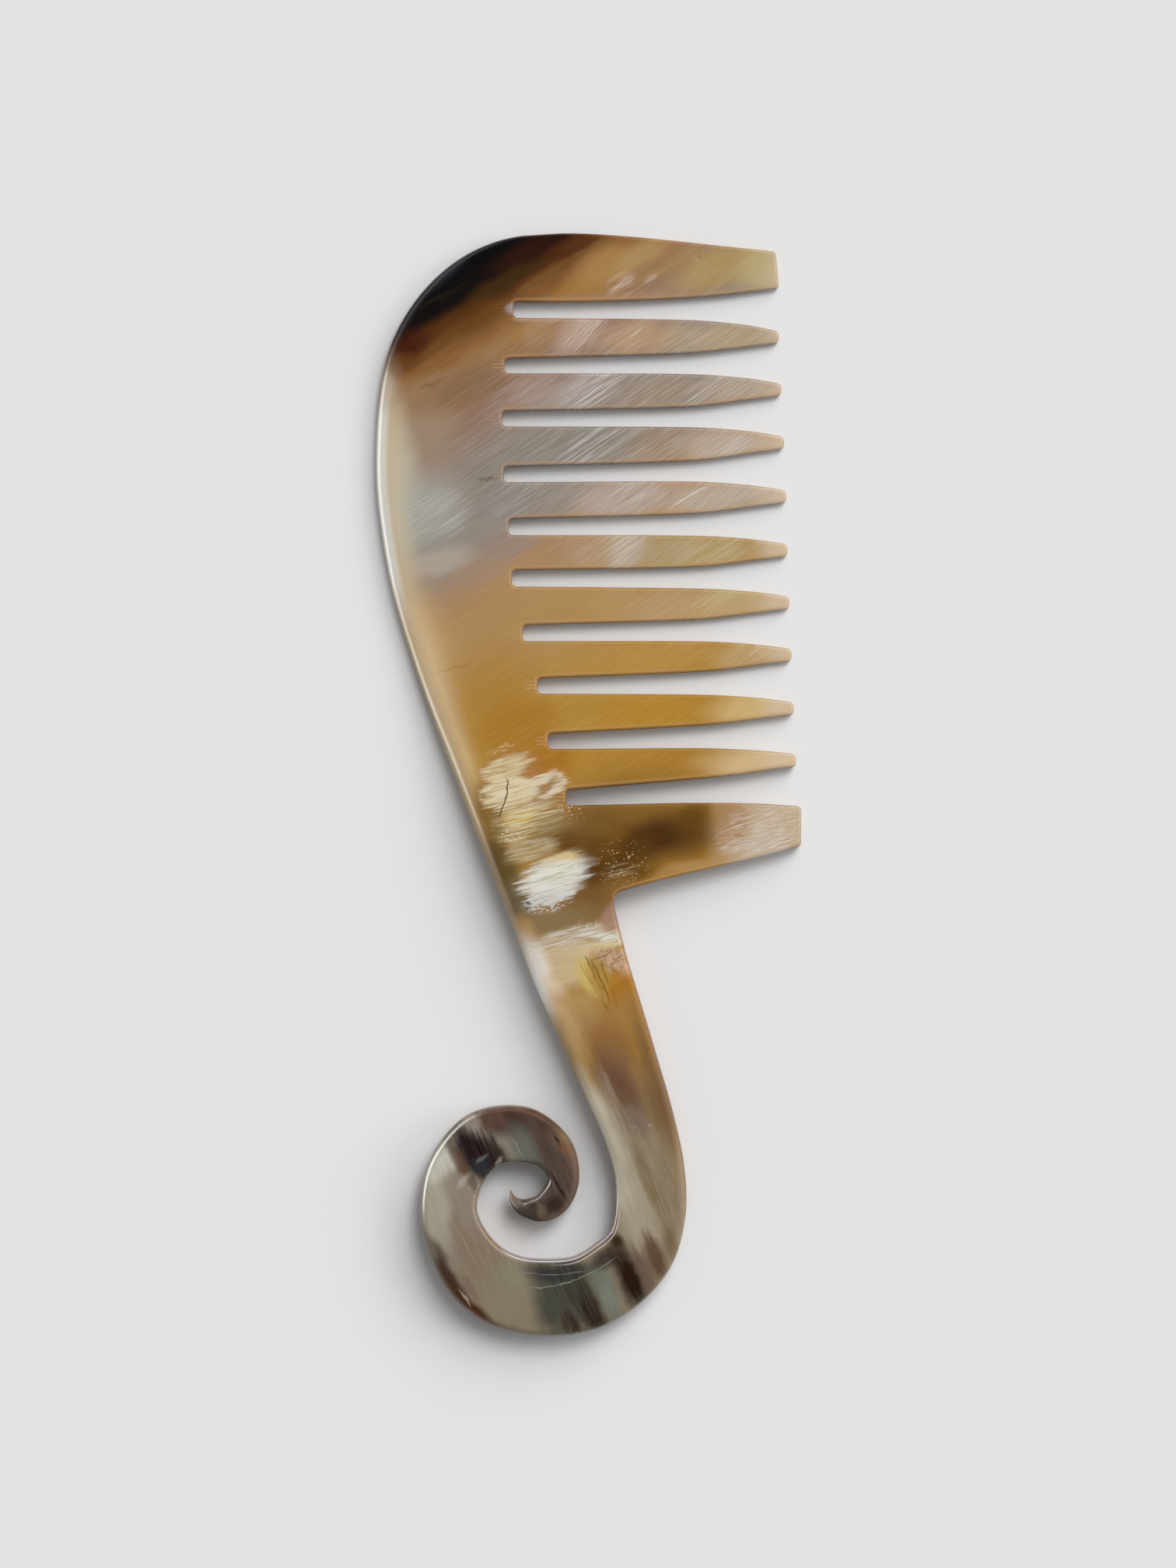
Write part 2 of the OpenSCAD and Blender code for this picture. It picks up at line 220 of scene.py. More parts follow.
def tip_corner(k, s):
    if k == 0:
        return TOP_END[0 if s > 0 else 1]
    if k == 10:
        return LOW_END[0 if s > 0 else 1]
    return (TEETH[k - 1][0], TEETH[k - 1][1] + s * TIP_HALF * 0.98)


def flank(knots, c, other, r):
    return run(list(knots) + [c], 0, len(knots) - 1, spaced(1.0)) + [vec(knots[-1])] + corner(knots[-1], c, other, r, 6)


def tip_mid(k):
    return (vec(tip_corner(k, 1)) + vec(tip_corner(k, -1))) / 2


def tooth_start(k):
    return max(GAPS[k - 1][0] if k > 0 else -20, GAPS[k][0] if k < 10 else 6) + ROOT_R


def half_of(y):
    """Half thickness: the plate thins from the neck up to the middle teeth."""
    t = min(1, max(0, (y - THIN_FROM) / (THIN_TO - THIN_FROM)))
    return lerp(PLATE_T, BLADE_T, t * t * (3 - 2 * t)) / 2


def tooth_half(k, x, y):
    s, t = tooth_start(k), tip_mid(k)[0]
    return half_of(y) * lerp(1, TIP_PART, min(1, max(0, (x - s) / (t - s))))


# Each outline point: x, y, roll over the face, drop down the edge, half thickness
def flat_pt(p, r, d):
    h = half_of(p[1])
    return (p[0], p[1], r, min(d, 0.8 * h), h)


def tooth_pt(p, k):
    return (p[0], p[1], TOOTH_ROUND, TOOTH_ROUND, tooth_half(k, p[0], p[1]))


def arm_pt(p, w, r):
    h = min(half_t, (w + HOOK_EXTRA) / 2)
    return (p[0], p[1], min(r, 0.4 * w), min(r, 0.4 * w, 0.8 * h), h)


outline = []
back_counts = lambda i, d: max(3, math.ceil(d / 0.7))
left = []
guard_before = vec((TOP_GUARD[0][0], TOP_GUARD[0][1]))
for i in range(n_back):
    p0 = inner_knots[i - 1] if i else guard_before
    m = back_counts(i, np.linalg.norm(inner_knots[i + 1] - inner_knots[i]))
    for s in range(m):
        left.append((i + s / m, curve4(p0, inner_knots[i], inner_knots[i + 1], inner_knots[i + 2], s / m)))
for t, p in left[1:]:
    f = min(1, t / 5)
    outline.append(flat_pt(p, lerp(TOOTH_ROUND, BACK_ROLL, f), lerp(TOOTH_ROUND, BACK_DROP, f)))
for t, p, w in zip(arm_at, arm_in, arm_w):
    q, f = arm_pt(p, w, INNER_ROUND), max(0, 1 - t / 6)
    outline.append((q[0], q[1], lerp(q[2], BACK_ROLL, f), lerp(q[3], min(BACK_DROP, 0.8 * half_t), f), q[4]))
back_edge_count = len(left) - 1 + sum(arm_counts[:5])  # outline points on the back and the neck's left side
outline.append(arm_pt(HOOK, 0.3, 0.1))
for t, p, w in reversed(list(zip(arm_at, arm_out, arm_w))):
    outline.append(arm_pt(p, w, lerp(0.7, OUTER_ROUND, min(1, t / 3))))
u = unit(arm_out[0] - arm_out[1])
v = unit(vec((LOW_GUARD[0][0], LOW_GUARD[0][2])) - vec(LOW_ROOT))
d = vec(LOW_ROOT) - arm_out[0]
neck = arm_out[0] + u * (d[0] * v[1] - d[1] * v[0]) / (u[0] * v[1] - u[1] * v[0])
outline += [flat_pt(p, 0.6, 0.6) for p in corner(arm_out[0], neck, LOW_ROOT, FILLET_R, 9)]
for k in range(10, -1, -1):
    tip_r = END_R if k in (0, 10) else TIP_R
    outline += [tooth_pt(p, k) for p in flank(lower(k), tip_corner(k, -1), tip_corner(k, 1), tip_r)]
    outline.append(tooth_pt(tip_mid(k), k))
    outline += [tooth_pt(p, k) for p in reversed(flank(upper(k), tip_corner(k, 1), tip_corner(k, -1), tip_r))]
    if k > 0:
        x, y, h = GAPS[k - 1][0], GAPS[k - 1][1], GAPS[k - 1][2] * GAP_W / 2
        low = corner((x + 5, y - h), (x, y - h), (x, y), ROOT_R, 6)
        high = corner((x, y), (x, y + h), (x + 5, y + h), ROOT_R, 6)
        outline += [flat_pt(p, TOOTH_ROUND, TOOTH_ROUND) for p in low[1:] + high[:-1]]

# Drop points that fall on the one before
kept = [outline[0]]
for p in outline[1:]:
    if math.dist(p[:2], kept[-1][:2]) > 0.03:
        kept.append(p)
    elif len(kept) < back_edge_count:
        back_edge_count -= 1
outline = np.array(kept)
n = len(outline)
xy = outline[:, :2]
fore = xy - np.roll(xy, 1, 0)
aft = np.roll(xy, -1, 0) - xy
fore /= np.linalg.norm(fore, axis=1)[:, None]
aft /= np.linalg.norm(aft, axis=1)[:, None]
way = fore + aft
way /= np.linalg.norm(way, axis=1)[:, None]
inward = np.stack([-way[:, 1], way[:, 0]], 1)

# ---------------------------------------------------------------------------
# The mesh
# ---------------------------------------------------------------------------

# Profile of the edge from the middle of the wall up to the face: part of the roll, part of the drop
profile = [(1 - math.cos(a), math.sin(a)) for a in np.linspace(0, math.pi / 2, BEVEL_STEPS + 1)]


def ring(sign, cut, climb, extra=0.0):
    inset = outline[:, 2] * cut + extra
    z = mid_z + sign * (outline[:, 4] - outline[:, 3] + outline[:, 3] * climb)
    p = xy + inward * inset[:, None]
    return np.column_stack([p, z]), inset


# Height of the plate's middle: the blade thins from its top face alone, the hook from both faces
mid_z = np.where(outline[:, 1] < THIN_FROM, half_t, outline[:, 4])
support = np.minimum(0.09, 0.12 * outline[:, 2] / 0.4)
rings, insets = [], []
for sign in (-1, 1):
    steps = [(c, s, 0.0) for c, s in profile] + [(1.0, 1.0, support)]
    if sign < 0:
        steps.reverse()
    for c, s, e in steps:
        r, i = ring(sign, c, s, e)
        rings.append(r)
        insets.append(i)
    if sign < 0:
        rings.append(np.column_stack([xy, mid_z]))
        insets.append(np.zeros(n))
m_rings = len(rings)

# Fine samples of the outline, for distances
near = KDTree(n * 6)
count = 0
for i in range(n):
    a, b = xy[i], xy[(i + 1) % n]
    m = 6
    for s in range(m):
        q = a + (b - a) * s / m
        near.insert((q[0], q[1], 0), count)
        count += 1
near.balance()
back_near = KDTree(back_edge_count)
for i in range(back_edge_count):
    back_near.insert((xy[i][0], xy[i][1], 0), i)
back_near.balance()
below = [i for i in range(n) if inward[i][1] > 0.6 and xy[i][0] > -15 and xy[i][1] > -20]
below_near = KDTree(len(below) * 3)
for i in below:
    for s in range(3):
        q = xy[i] + (xy[(i + 1) % n] - xy[i]) * s / 3
        below_near.insert((q[0], q[1], 0), i)
below_near.balance()


def inside_rows(step, margin):
    """Points of a staggered grid inside the outline, at least margin from it."""
    out = []
    ax, ay = xy[:, 0], xy[:, 1]
    bx, by = np.roll(ax, -1), np.roll(ay, -1)
    rows = np.arange(ay.min() + step / 3, ay.max(), step * 0.87)
    for r, y in enumerate(rows):
        hit = (ay <= y) != (by <= y)
        cross = np.sort(ax[hit] + (y - ay[hit]) / (by[hit] - ay[hit]) * (bx[hit] - ax[hit]))
        for x0, x1 in zip(cross[::2], cross[1::2]):
            for x in np.arange(math.ceil(x0 / step) * step + (r % 2) * step / 2, x1, step):
                if near.find((x, y, 0))[2] > margin(x, y):
                    out.append((x, y))
    return out


def waves(x, y, seeds):
    """A few long shallow waves, as hand filing leaves."""
    total = 0.0
    for kx, ky, phase, amount in seeds:
        total += amount * math.sin(kx * x + ky * y + phase)
    return total


FILING = [(0.21, 0.11, 0.4, 0.020), (-0.13, 0.29, 2.1, 0.016), (0.37, -0.17, 4.0, 0.010), (0.05, 0.47, 1.2, 0.009), (0.61, 0.33, 5.3, 0.005)]
PIT = (17.7, 84.7)


def relief(x, y, deep):
    """Height of the top face over its true plane; deep is the distance from the outline."""
    fade = min(1, max(0, (deep - 2.0) / 3.0))
    z = waves(x, y, FILING) * fade
    d = math.dist((x, y), PIT)
    if d < 0.6:
        z -= 0.12 * (1 - (d / 0.6) ** 2) ** 2
    return z


def half_at(x, y):
    """Half thickness of the plate at a point of the face."""
    if x > -14 and y > -17.5:
        bounds = [g[1] for g in GAPS]
        k = sum(1 for g in bounds if y < g)
        if x > tooth_start(k):
            return tooth_half(k, x, y)
    if y < -55:
        _, i, _ = near.find((x, y, 0))
        return outline[i // 6][4]
    return half_of(y)


verts, inset_of = [], []
for r, i in zip(rings, insets):
    verts += [tuple(p) for p in r]
    inset_of += list(i)
faces = []
upper_face = []  # whether each face belongs to the upper half
for r in range(m_rings - 1):
    a0, b0 = r * n, (r + 1) * n
    for i in range(n):
        j = (i + 1) % n
        faces.append((a0 + i, a0 + j, b0 + j, b0 + i))
        upper_face.append(r >= BEVEL_STEPS + 2)


def cap(ring_start, step, top):
    """Fills a face of the plate inside its support ring."""
    edge = [(verts[ring_start + i][0], verts[ring_start + i][1]) for i in range(n)]

    def margin(x, y):
        _, i, _ = near.find((x, y, 0))
        return outline[i // 6][2] + 0.09 + step * 0.55

    inner = inside_rows(step, margin)
    if top:
        for rad, m in ((0.0, 1), (0.2, 6), (0.42, 10), (0.66, 14)):
            inner = [p for p in inner if math.dist(p, PIT) > 0.9 or rad > 0]
            for s in range(m):
                inner.append((PIT[0] + rad * math.cos(6.2832 * s / m), PIT[1] + rad * math.sin(6.2832 * s / m)))
    points = edge + inner
    loop = list(range(n))
    co, _, tris, was, _, _ = delaunay_2d_cdt([Vector(p) for p in points], [(i, (i + 1) % n) for i in range(n)], [loop if top else loop], 1, 1e-7)
    if len(co) != len(points):
        print("cap: points in", len(points), "out", len(co))
    index = {}
    for i, c in enumerate(co):
        src = [w for w in was[i]]
        on_edge = [w for w in src if w < n]
        if on_edge:
            index[i] = ring_start + on_edge[0]
            continue
        x, y = c.x, c.y
        deep = near.find((x, y, 0))[2]
        h = half_at(x, y)
        z = (half_t if y < THIN_FROM else h) + (h + relief(x, y, deep) if top else -h)
        index[i] = len(verts)
        verts.append((x, y, z))
        inset_of.append(deep)
    for t in tris:
        p = [index[i] for i in t]
        if len(set(p)) < 3:
            continue
        faces.append(tuple(p) if top else tuple(reversed(p)))
        upper_face.append(top)


cap(0, UNDER_STEP, False)
cap((m_rings - 1) * n, FACE_STEP, True)

co = np.array(verts)
mesh = bpy.data.meshes.new("comb_horn")
mesh.from_pydata((co * MM).tolist(), [], faces)
mesh.validate()
mesh.update()
mesh.polygons.foreach_set("use_smooth", [True] * len(mesh.polygons))

rim = mesh.attributes.new("rim", "FLOAT", "POINT")
rim.data.foreach_set("value", np.array(inset_of, np.float32))
from_back = mesh.attributes.new("from_back", "FLOAT", "POINT")
from_back.data.foreach_set("value", np.array([back_near.find((p[0], p[1], 0))[2] for p in co], np.float32))

from_below = mesh.attributes.new("from_below", "FLOAT", "POINT")
from_below.data.foreach_set("value", np.array([below_near.find((p[0], p[1], 0))[2] for p in co], np.float32))

comb = bpy.data.objects.new("comb_horn", mesh)
bpy.context.scene.collection.objects.link(comb)
print("comb_horn:", len(mesh.vertices), "points,", sum(len(p.vertices) - 2 for p in mesh.polygons), "triangles, outline", n)

# ---------------------------------------------------------------------------
# Map for baking: top and underside apart, blade and handle apart
# ---------------------------------------------------------------------------

CUT_Y = -20.0
WALL = 1.05  # width of map given to half of the edge's upright wall
TOP_SCALE, UNDER_SCALE = 6.95, 4.55  # map pixels per millimetre


def chart(p, s, top):
    """Returns x and y of a point p of the outline's plane, with s, how far outside the outline, and top, unchanged."""
    return (p[0], p[1], s, top)


out_xy = co[:, :2].copy()
for r in range(m_rings):
    # the upright wall folds out past the outline, up to its middle ring
    if r == BEVEL_STEPS + 2:
        out_xy[r * n:(r + 1) * n] = xy - inward * WALL
layer = mesh.uv_layers.new(name="OFBake")
loops = np.zeros(len(mesh.loops), np.int32)
mesh.loops.foreach_get("vertex_index", loops)
starts = np.zeros(len(mesh.polygons), np.int32)
totals = np.zeros(len(mesh.polygons), np.int32)
mesh.polygons.foreach_get("loop_start", starts)
mesh.polygons.foreach_get("loop_total", totals)
centres = np.add.reduceat(co[loops], starts) / totals[:, None]
is_top = np.repeat(np.array(upper_face), totals)
is_blade = np.repeat(centres[:, 1] > CUT_Y, totals)
p = out_xy[loops]
lo_b, hi_b = vec((-34.2 - WALL - 0.2, CUT_Y - 2.0)), vec((34.2 + WALL + 0.2, 88.65 + WALL + 0.2))
lo_h, hi_h = vec((-27.2 - WALL - 0.4, -88.65 - WALL - 0.2)), vec((15.7 + WALL + 0.4, CUT_Y + 2.0))
uv = np.zeros((len(loops), 2))
size = 1024.0


def place(mask, lo, scale, corner_px, turn=False, mirror=None):
    q = (p[mask] - lo) * scale
    if mirror is not None:
        q[:, 0] = mirror * scale - q[:, 0]
    if turn:
        q = np.stack([q[:, 1], q[:, 0]], 1)
    uv[mask] = (q + vec(corner_px)) / size


blade_w, handle_w = hi_b[0] - lo_b[0], hi_h[0] - lo_h[0]
place(is_top & is_blade, lo_b, TOP_SCALE, (3, 1021 - (hi_b[1] - lo_b[1]) * TOP_SCALE))
place(is_top & ~is_blade, lo_h, TOP_SCALE, (6 + blade_w * TOP_SCALE, 1021 - (hi_h[1] - lo_h[1]) * TOP_SCALE))
place(~is_top & is_blade, lo_b, UNDER_SCALE, (6 + blade_w * TOP_SCALE, 3), mirror=blade_w)
place(~is_top & ~is_blade, lo_h, UNDER_SCALE, (3, 3), turn=True)
layer.uv.foreach_set("vector", uv.astype(np.float32).ravel())
print("map from", uv.min(0).round(4), "to", uv.max(0).round(4))

# ---------------------------------------------------------------------------
# Camera: straight above, 8 units of the 1512 x 2016 frame to the millimetre
# ---------------------------------------------------------------------------

UNITS = 8.0
DISTANCE = 1.10
SENSOR = 24.0
cam_data = bpy.data.cameras.new("camera")
cam_data.sensor_fit = "AUTO"
cam_data.sensor_width = SENSOR
cam_data.lens = SENSOR * DISTANCE / (2016 / UNITS * MM)
cam_data.clip_start, cam_data.clip_end = 0.05, 20
camera = bpy.data.objects.new("camera", cam_data)
camera.location = (-0.5 / UNITS * MM, 0.5 / UNITS * MM, half_t * MM + DISTANCE)
bpy.context.scene.collection.objects.link(camera)
bpy.context.scene.camera = camera

# ---------------------------------------------------------------------------
# Horn: colours laid out as named zones
# ---------------------------------------------------------------------------

# Directions of the fibres, in degrees rising to the right
FIBRE = {"blade": 33, "patch": 15, "handle": -67}
# How far brushes are pushed along them: slowly and quickly varying
RAGGED = {"blade": (46.0, 30.0), "patch": (30.0, 28.0), "handle": (30.0, 20.0)}

# Ground colour of the blade across its fibres: distance in frame units, colour
GROUND = [
    (590, "#1a1318"), (618, "#1b1416"), (636, "#21170f"), (648, "#352318"), (656, "#462b1b"),
    (664, "#583620"), (674, "#6a4426"), (684, "#7c5430"), (698, "#8e643a"), (714, "#9a7046"),
    (732, "#a07850"), (752, "#9c7858"), (776, "#957662"), (800, "#947b6c"), (825, "#958679"),
    (850, "#94887d"), (885, "#928a80"), (915, "#958b80"), (938, "#9c8a78"), (958, "#a8896c"),
    (980, "#ae8960"), (1010, "#b18d5f"), (1060, "#b18c59"), (1100, "#b08a4e"), (1150, "#af863f"),
    (1210, "#ad8236"), (1280, "#a67a32"),
]

# Washes lie softly, brushes end in ragged fibres, streaks and bristles are broken into
# fibres, grain and dust are speckled and spots are sharp. Then: fibre direction, middle, half length,
# half width, angle, softness, colour, amount.
ZONES = [
    # crown
    # painted reflection: a dim blue-grey band for light reflected on the crown's rounded edge
    ("crown painted reflection", "wash", "blade", 572, 350, 30, 8, 40, 1.2, "#33333a", 0.6),
    ("crown olive streak", "brush", "blade", 576, 378, 34, 4, 27, 1.2, "#2f2a1c", 0.6),
    ("crown black band", "wash", "blade", 572, 395, 56, 12, 33, 1.5, "#1a1210", 0.8),
    ("crown olive brown", "wash", "blade", 648, 362, 50, 13, 33, 1.4, "#45341f", 0.75),
    ("crown plum", "wash", "blade", 676, 322, 50, 12, 26, 1.4, "#3a241c", 0.8),
    ("crown red brown", "wash", "blade", 730, 314, 30, 11, 25, 1.0, "#53321f", 0.8),
    ("crown chestnut end", "brush", "blade", 748, 311, 22, 9, 25, 0.9, "#5d3a22", 0.7),
    ("chestnut under crown", "wash", "blade", 594, 414, 60, 15, 27, 1.4, "#66401f", 0.65),
    ("red corner", "wash", "blade", 526, 446, 24, 15, 30, 1.4, "#4a2616", 0.8),
    ("brown corner", "wash", "blade", 516, 468, 22, 12, 22, 1.2, "#6c4324", 0.8),
    ("gold under crown", "wash", "blade", 740, 374, 44, 15, 33, 1.1, "#a5763a", 0.7),
    ("gold by first tooth", "wash", "blade", 676, 428, 24, 8, 25, 1.1, "#a97d42", 0.7),
    ("beige behind", "wash", "blade", 490, 548, 26, 74, 5, 1.6, "#c2ae94", 0.85),
    ("beige behind top", "wash", "blade", 494, 500, 12, 18, 10, 1.4, "#d2c3b0", 0.7),
    ("tan behind", "wash", "blade", 542, 560, 40, 40, 20, 1.5, "#a28c76", 0.75),
    ("warm brown shoulder", "wash", "blade", 604, 494, 62, 24, 22, 1.3, "#85674c", 0.7),
    ("gold shoulder", "wash", "blade", 540, 500, 36, 14, 24, 1.6, "#9a7e5e", 0.6),
    ("short smudge", "brush", "blade", 555, 494, 17, 3.2, 20, 1.2, "#785840", 0.5),
    ("mauve by second root", "wash", "blade", 655, 520, 40, 20, 33, 1.3, "#9b8072", 0.6),
    ("pale first root", "wash", "blade", 697, 411, 32, 5, 2, 1.1, "#b59a82", 0.85),
    ("grey first root", "spot", "blade", 661, 396, 11, 7, 10, 0.9, "#9a918e", 0.95),
    ("gold first root", "wash", "blade", 702, 415, 14, 5, 10, 1.1, "#ac947d", 0.8),
    # grey cloud
    ("greenish margin", "wash", "blade", 512, 632, 24, 90, 3, 1.4, "#c3bca6", 0.85),
    ("blue grey cloud", "wash", "blade", 552, 652, 44, 40, 60, 1.3, "#afada3", 0.7),
    ("blue grey lines", "streak", "blade", 566, 660, 46, 26, 20, 1.0, "#c8c9c4", 0.38),
    ("grey cloud middle", "brush", "blade", 640, 600, 60, 28, 30, 1.3, "#8b8379", 0.6),
    ("silver streaks", "streak", "blade", 664, 641, 30, 16, 30, 0.6, "#b0afac", 0.65),
    ("grey by fourth root", "wash", "blade", 652, 640, 40, 22, 25, 1.0, "#918c86", 0.6),
    ("smudge by fourth root", "brush", "blade", 632, 614, 14, 3.4, 5, 0.9, "#6c5f52", 0.75),
    ("grey hem", "wash", "blade", 562, 722, 46, 18, 16, 1.0, "#b8aa9c", 0.7),
    ("grey hem right", "wash", "blade", 655, 700, 34, 18, 22, 0.7, "#9a877a", 0.8),
    ("rose under cloud", "wash", "blade", 612, 740, 44, 14, 20, 1.0, "#a48a76", 0.7),
    ("tan step", "wash", "blade", 725, 712, 42, 22, 5, 0.5, "#ab8865", 0.85),
    # amber body
    ("sand at the back", "wash", "blade", 540, 830, 36, 84, 17, 1.4, "#c6a678", 0.8),
    ("sand low at the back", "wash", "blade", 584, 975, 18, 66, 21, 1.4, "#c4a872", 0.8),
    ("gold middle", "wash", "blade", 640, 820, 60, 50, 20, 1.2, "#ad8858", 0.5),
    ("amber middle", "wash", "blade", 640, 905, 60, 60, 20, 1.3, "#a87d36", 0.8),
    ("amber low", "wash", "blade", 668, 935, 48, 34, 20, 1.2, "#a67529", 0.8),
    ("orange by the patch", "wash", "patch", 705, 978, 30, 22, 10, 1.1, "#a46d22", 0.85),
    ("fine dark line", "spot", "blade", 584, 859, 38, 1.3, 14, 1.2, "#98744a", 0.5),
    # teeth, from the top down
    ("tooth 1 ochre", "wash", "blade", 776, 340, 42, 22, 33, 1.2, "#ae8650", 0.85),
    ("tooth 1 pale band", "wash", "blade", 822, 328, 40, 12, 33, 1.1, "#b3925f", 0.8),
    ("tooth 1 diagonal", "brush", "blade", 862, 338, 48, 7, 33, 1.0, "#a28352", 0.7),
    ("tooth 1 straw", "wash", "blade", 925, 345, 62, 26, 20, 1.1, "#b3965f", 0.85),
    ("tooth 1 green end", "wash", "blade", 984, 345, 34, 30, 60, 1.1, "#bdab7b", 0.9),
    ("tooth 1 rose hem", "wash", "blade", 800, 384, 90, 9, 2, 1.2, "#ad8a68", 0.6),
    ("tooth 1 milk", "streak", "blade", 797, 366, 17, 14, 40, 0.9, "#cdbaa8", 0.75),
    ("tooth 1 milk spot", "streak", "blade", 836, 359, 9, 5, 30, 1.0, "#cbb8a4", 0.6),
    ("tooth 2 rose", "wash", "blade", 742, 426, 30, 18, 40, 1.2, "#bb9f8c", 0.8),
    ("tooth 2 rose lines", "streak", "steep", 752, 428, 32, 18, 40, 0.9, "#d6c4ba", 0.75),
    ("tooth 2 root", "wash", "blade", 694, 428, 20, 18, 20, 1.1, "#ab8763", 0.7),
    ("tooth 2 tan", "wash", "blade", 822, 434, 54, 20, 5, 1.2, "#bb9876", 0.85),
    ("tooth 2 flash", "spot", "blade", 817, 428, 9, 1.2, 42, 1.0, "#d8c8b4", 0.6),
    ("tooth 2 olive", "wash", "blade", 935, 432, 72, 20, 3, 1.3, "#b7a283", 0.85),
    ("tooth 2 smudge", "spot", "blade", 799, 410, 16, 2.5, 0, 1.2, "#8a6a4a", 0.6),
    ("tooth 3 lilac", "wash", "blade", 745, 502, 56, 22, 20, 1.1, "#a89a90", 0.8),
    ("tooth 3 rose root", "wash", "blade", 690, 502, 28, 20, 20, 1.1, "#a89084", 0.75),
    ("tooth 3 silver", "streak", "blade", 762, 502, 42, 18, 36, 0.9, "#d2cccc", 0.75),
    ("tooth 3 silver glow", "wash", "blade", 740, 500, 30, 14, 34, 1.2, "#b5aba6", 0.4),
    ("tooth 3 taupe", "wash", "blade", 852, 506, 52, 20, 10, 1.2, "#a18b76", 0.75),
    ("tooth 3 pale", "wash", "blade", 945, 500, 50, 20, 5, 1.2, "#b4a28f", 0.8),
    ("tooth 3 lines", "streak", "blade", 918, 500, 50, 14, 33, 0.9, "#c8bfb6", 0.6),
    ("tooth 4 slate", "wash", "blade", 730, 568, 60, 26, 10, 1.1, "#8f897f", 0.85),
    ("tooth 4 silver", "streak", "blade", 760, 573, 42, 18, 36, 0.9, "#c0beb9", 0.65),
    ("tooth 4 tan", "wash", "blade", 848, 571, 40, 22, 20, 1.1, "#9f8973", 0.8),
    ("tooth 4 rose", "wash", "blade", 935, 571, 56, 22, 5, 1.1, "#c0af9f", 0.85),
    ("tooth 4 lines", "streak", "blade", 945, 568, 24, 12, 33, 0.9, "#cbc0b4", 0.6),
    ("tooth 5 grey", "wash", "blade", 712, 640, 34, 22, 20, 1.0, "#958b80", 0.8),
    ("tooth 5 rose", "wash", "blade", 800, 642, 60, 24, 5, 1.1, "#b5a59a", 0.85),
    ("tooth 5 bisque", "wash", "blade", 935, 641, 80, 24, 3, 1.1, "#bead9e", 0.85),
    ("tooth 5 flash", "spot", "blade", 889, 636, 24, 1.5, 30, 1.0, "#e2dad0", 0.7),
    ("tooth 5 lines", "streak", "blade", 810, 640, 60, 18, 36, 0.9, "#c6bcb6", 0.5),
    ("tooth 5 olive", "brush", "blade", 963, 646, 26, 5, 15, 1.0, "#aa9c7c", 0.5),
    ("tooth 6 milk", "wash", "blade", 803, 706, 30, 22, 30, 1.2, "#bcb2a2", 0.75),
    ("tooth 6 milk lines", "streak", "blade", 802, 706, 26, 22, 38, 0.9, "#d6d0c8", 0.48),
    ("tooth 6 peach", "wash", "blade", 758, 708, 26, 20, 10, 1.0, "#b5987c", 0.65),
    ("tooth 6 olive", "wash", "blade", 858, 708, 36, 22, 20, 1.2, "#b2a079", 0.65),
    ("tooth 6 olive lines", "streak", "blade", 850, 706, 44, 18, 33, 0.9, "#988451", 0.6),
    ("tooth 6 straw", "wash", "blade", 918, 707, 44, 20, 5, 1.2, "#baa97f", 0.7),
    ("tooth 6 green line", "spot", "blade", 915, 704, 34, 3, 30, 1.2, "#a89452", 0.5),
    ("tooth 7 gold root", "wash", "blade", 792, 778, 34, 20, 10, 1.1, "#b79364", 0.7),
    ("tooth 7 fawn", "wash", "blade", 856, 780, 46, 22, 20, 1.2, "#bb9b7a", 0.7),
    ("tooth 7 lines", "streak", "blade", 915, 776, 56, 16, 33, 0.9, "#c6b594", 0.6),
    ("tooth 7 straw", "wash", "blade", 948, 776, 56, 20, 5, 1.1, "#bfa67a", 0.85),
    ("tooth 7 green", "wash", "blade", 935, 768, 30, 9, 10, 1.3, "#bbae7f", 0.4),
    ("tooth 8 gold", "wash", "blade", 850, 843, 84, 20, 3, 1.1, "#b68e4c", 0.7),
    ("tooth 8 glow", "wash", "blade", 955, 842, 34, 16, 10, 1.3, "#c0a174", 0.7),
    ("tooth 8 lines", "streak", "blade", 968, 838, 34, 12, 28, 1.0, "#d2c4a8", 0.7),
    ("tooth 9 amber", "wash", "blade", 850, 914, 60, 20, 3, 1.3, "#b38532", 0.8),
    ("tooth 9 sand", "wash", "blade", 965, 912, 50, 20, 3, 1.3, "#d2b57e", 0.85),
    ("tooth 10 sand", "wash", "blade", 974, 980, 62, 20, 3, 1.3, "#d4ba8e", 0.85),
    ("tips", "wash", "blade", 1024, 700, 42, 440, 0, 1.2, "#d6c2a8", 0.85),
    ("pearl lines above", "streak", "blade", 830, 570, 250, 160, 0, 0.7, "#d4cbc2", 0.17),
    ("brown lines above", "streak", "steep", 820, 540, 260, 180, 0, 0.7, "#7d6248", 0.12),
    ("honey lines", "streak", "blade", 790, 860, 260, 170, 0, 0.8, "#d0a258", 0.16),
    ("teeth straw lines", "streak", "blade", 900, 560, 150, 260, 0, 0.8, "#ddd2c0", 0.10),
    # low guard tooth
    ("guard brown", "wash", "patch", 806, 1065, 106, 60, 5, 1.1, "#7e5a2c", 0.92),
    ("guard dark", "wash", "patch", 848, 1078, 60, 24, 9, 1.4, "#452f12", 0.95),
    ("guard dark rise", "wash", "patch", 890, 1050, 30, 20, 60, 1.5, "#62441f", 0.85),
    ("guard dark root", "wash", "patch", 800, 1092, 46, 18, 18, 1.3, "#5e4019", 0.75),
    ("guard beige", "wash", "blade", 1006, 1074, 76, 62, 14, 1.0, "#bea88c", 0.95),
    ("guard beige low", "wash", "blade", 968, 1090, 34, 18, 16, 1.0, "#c2b29c", 0.85),
    ("guard tan border", "wash", "blade", 942, 1056, 20, 28, 15, 1.3, "#a58058", 0.95),
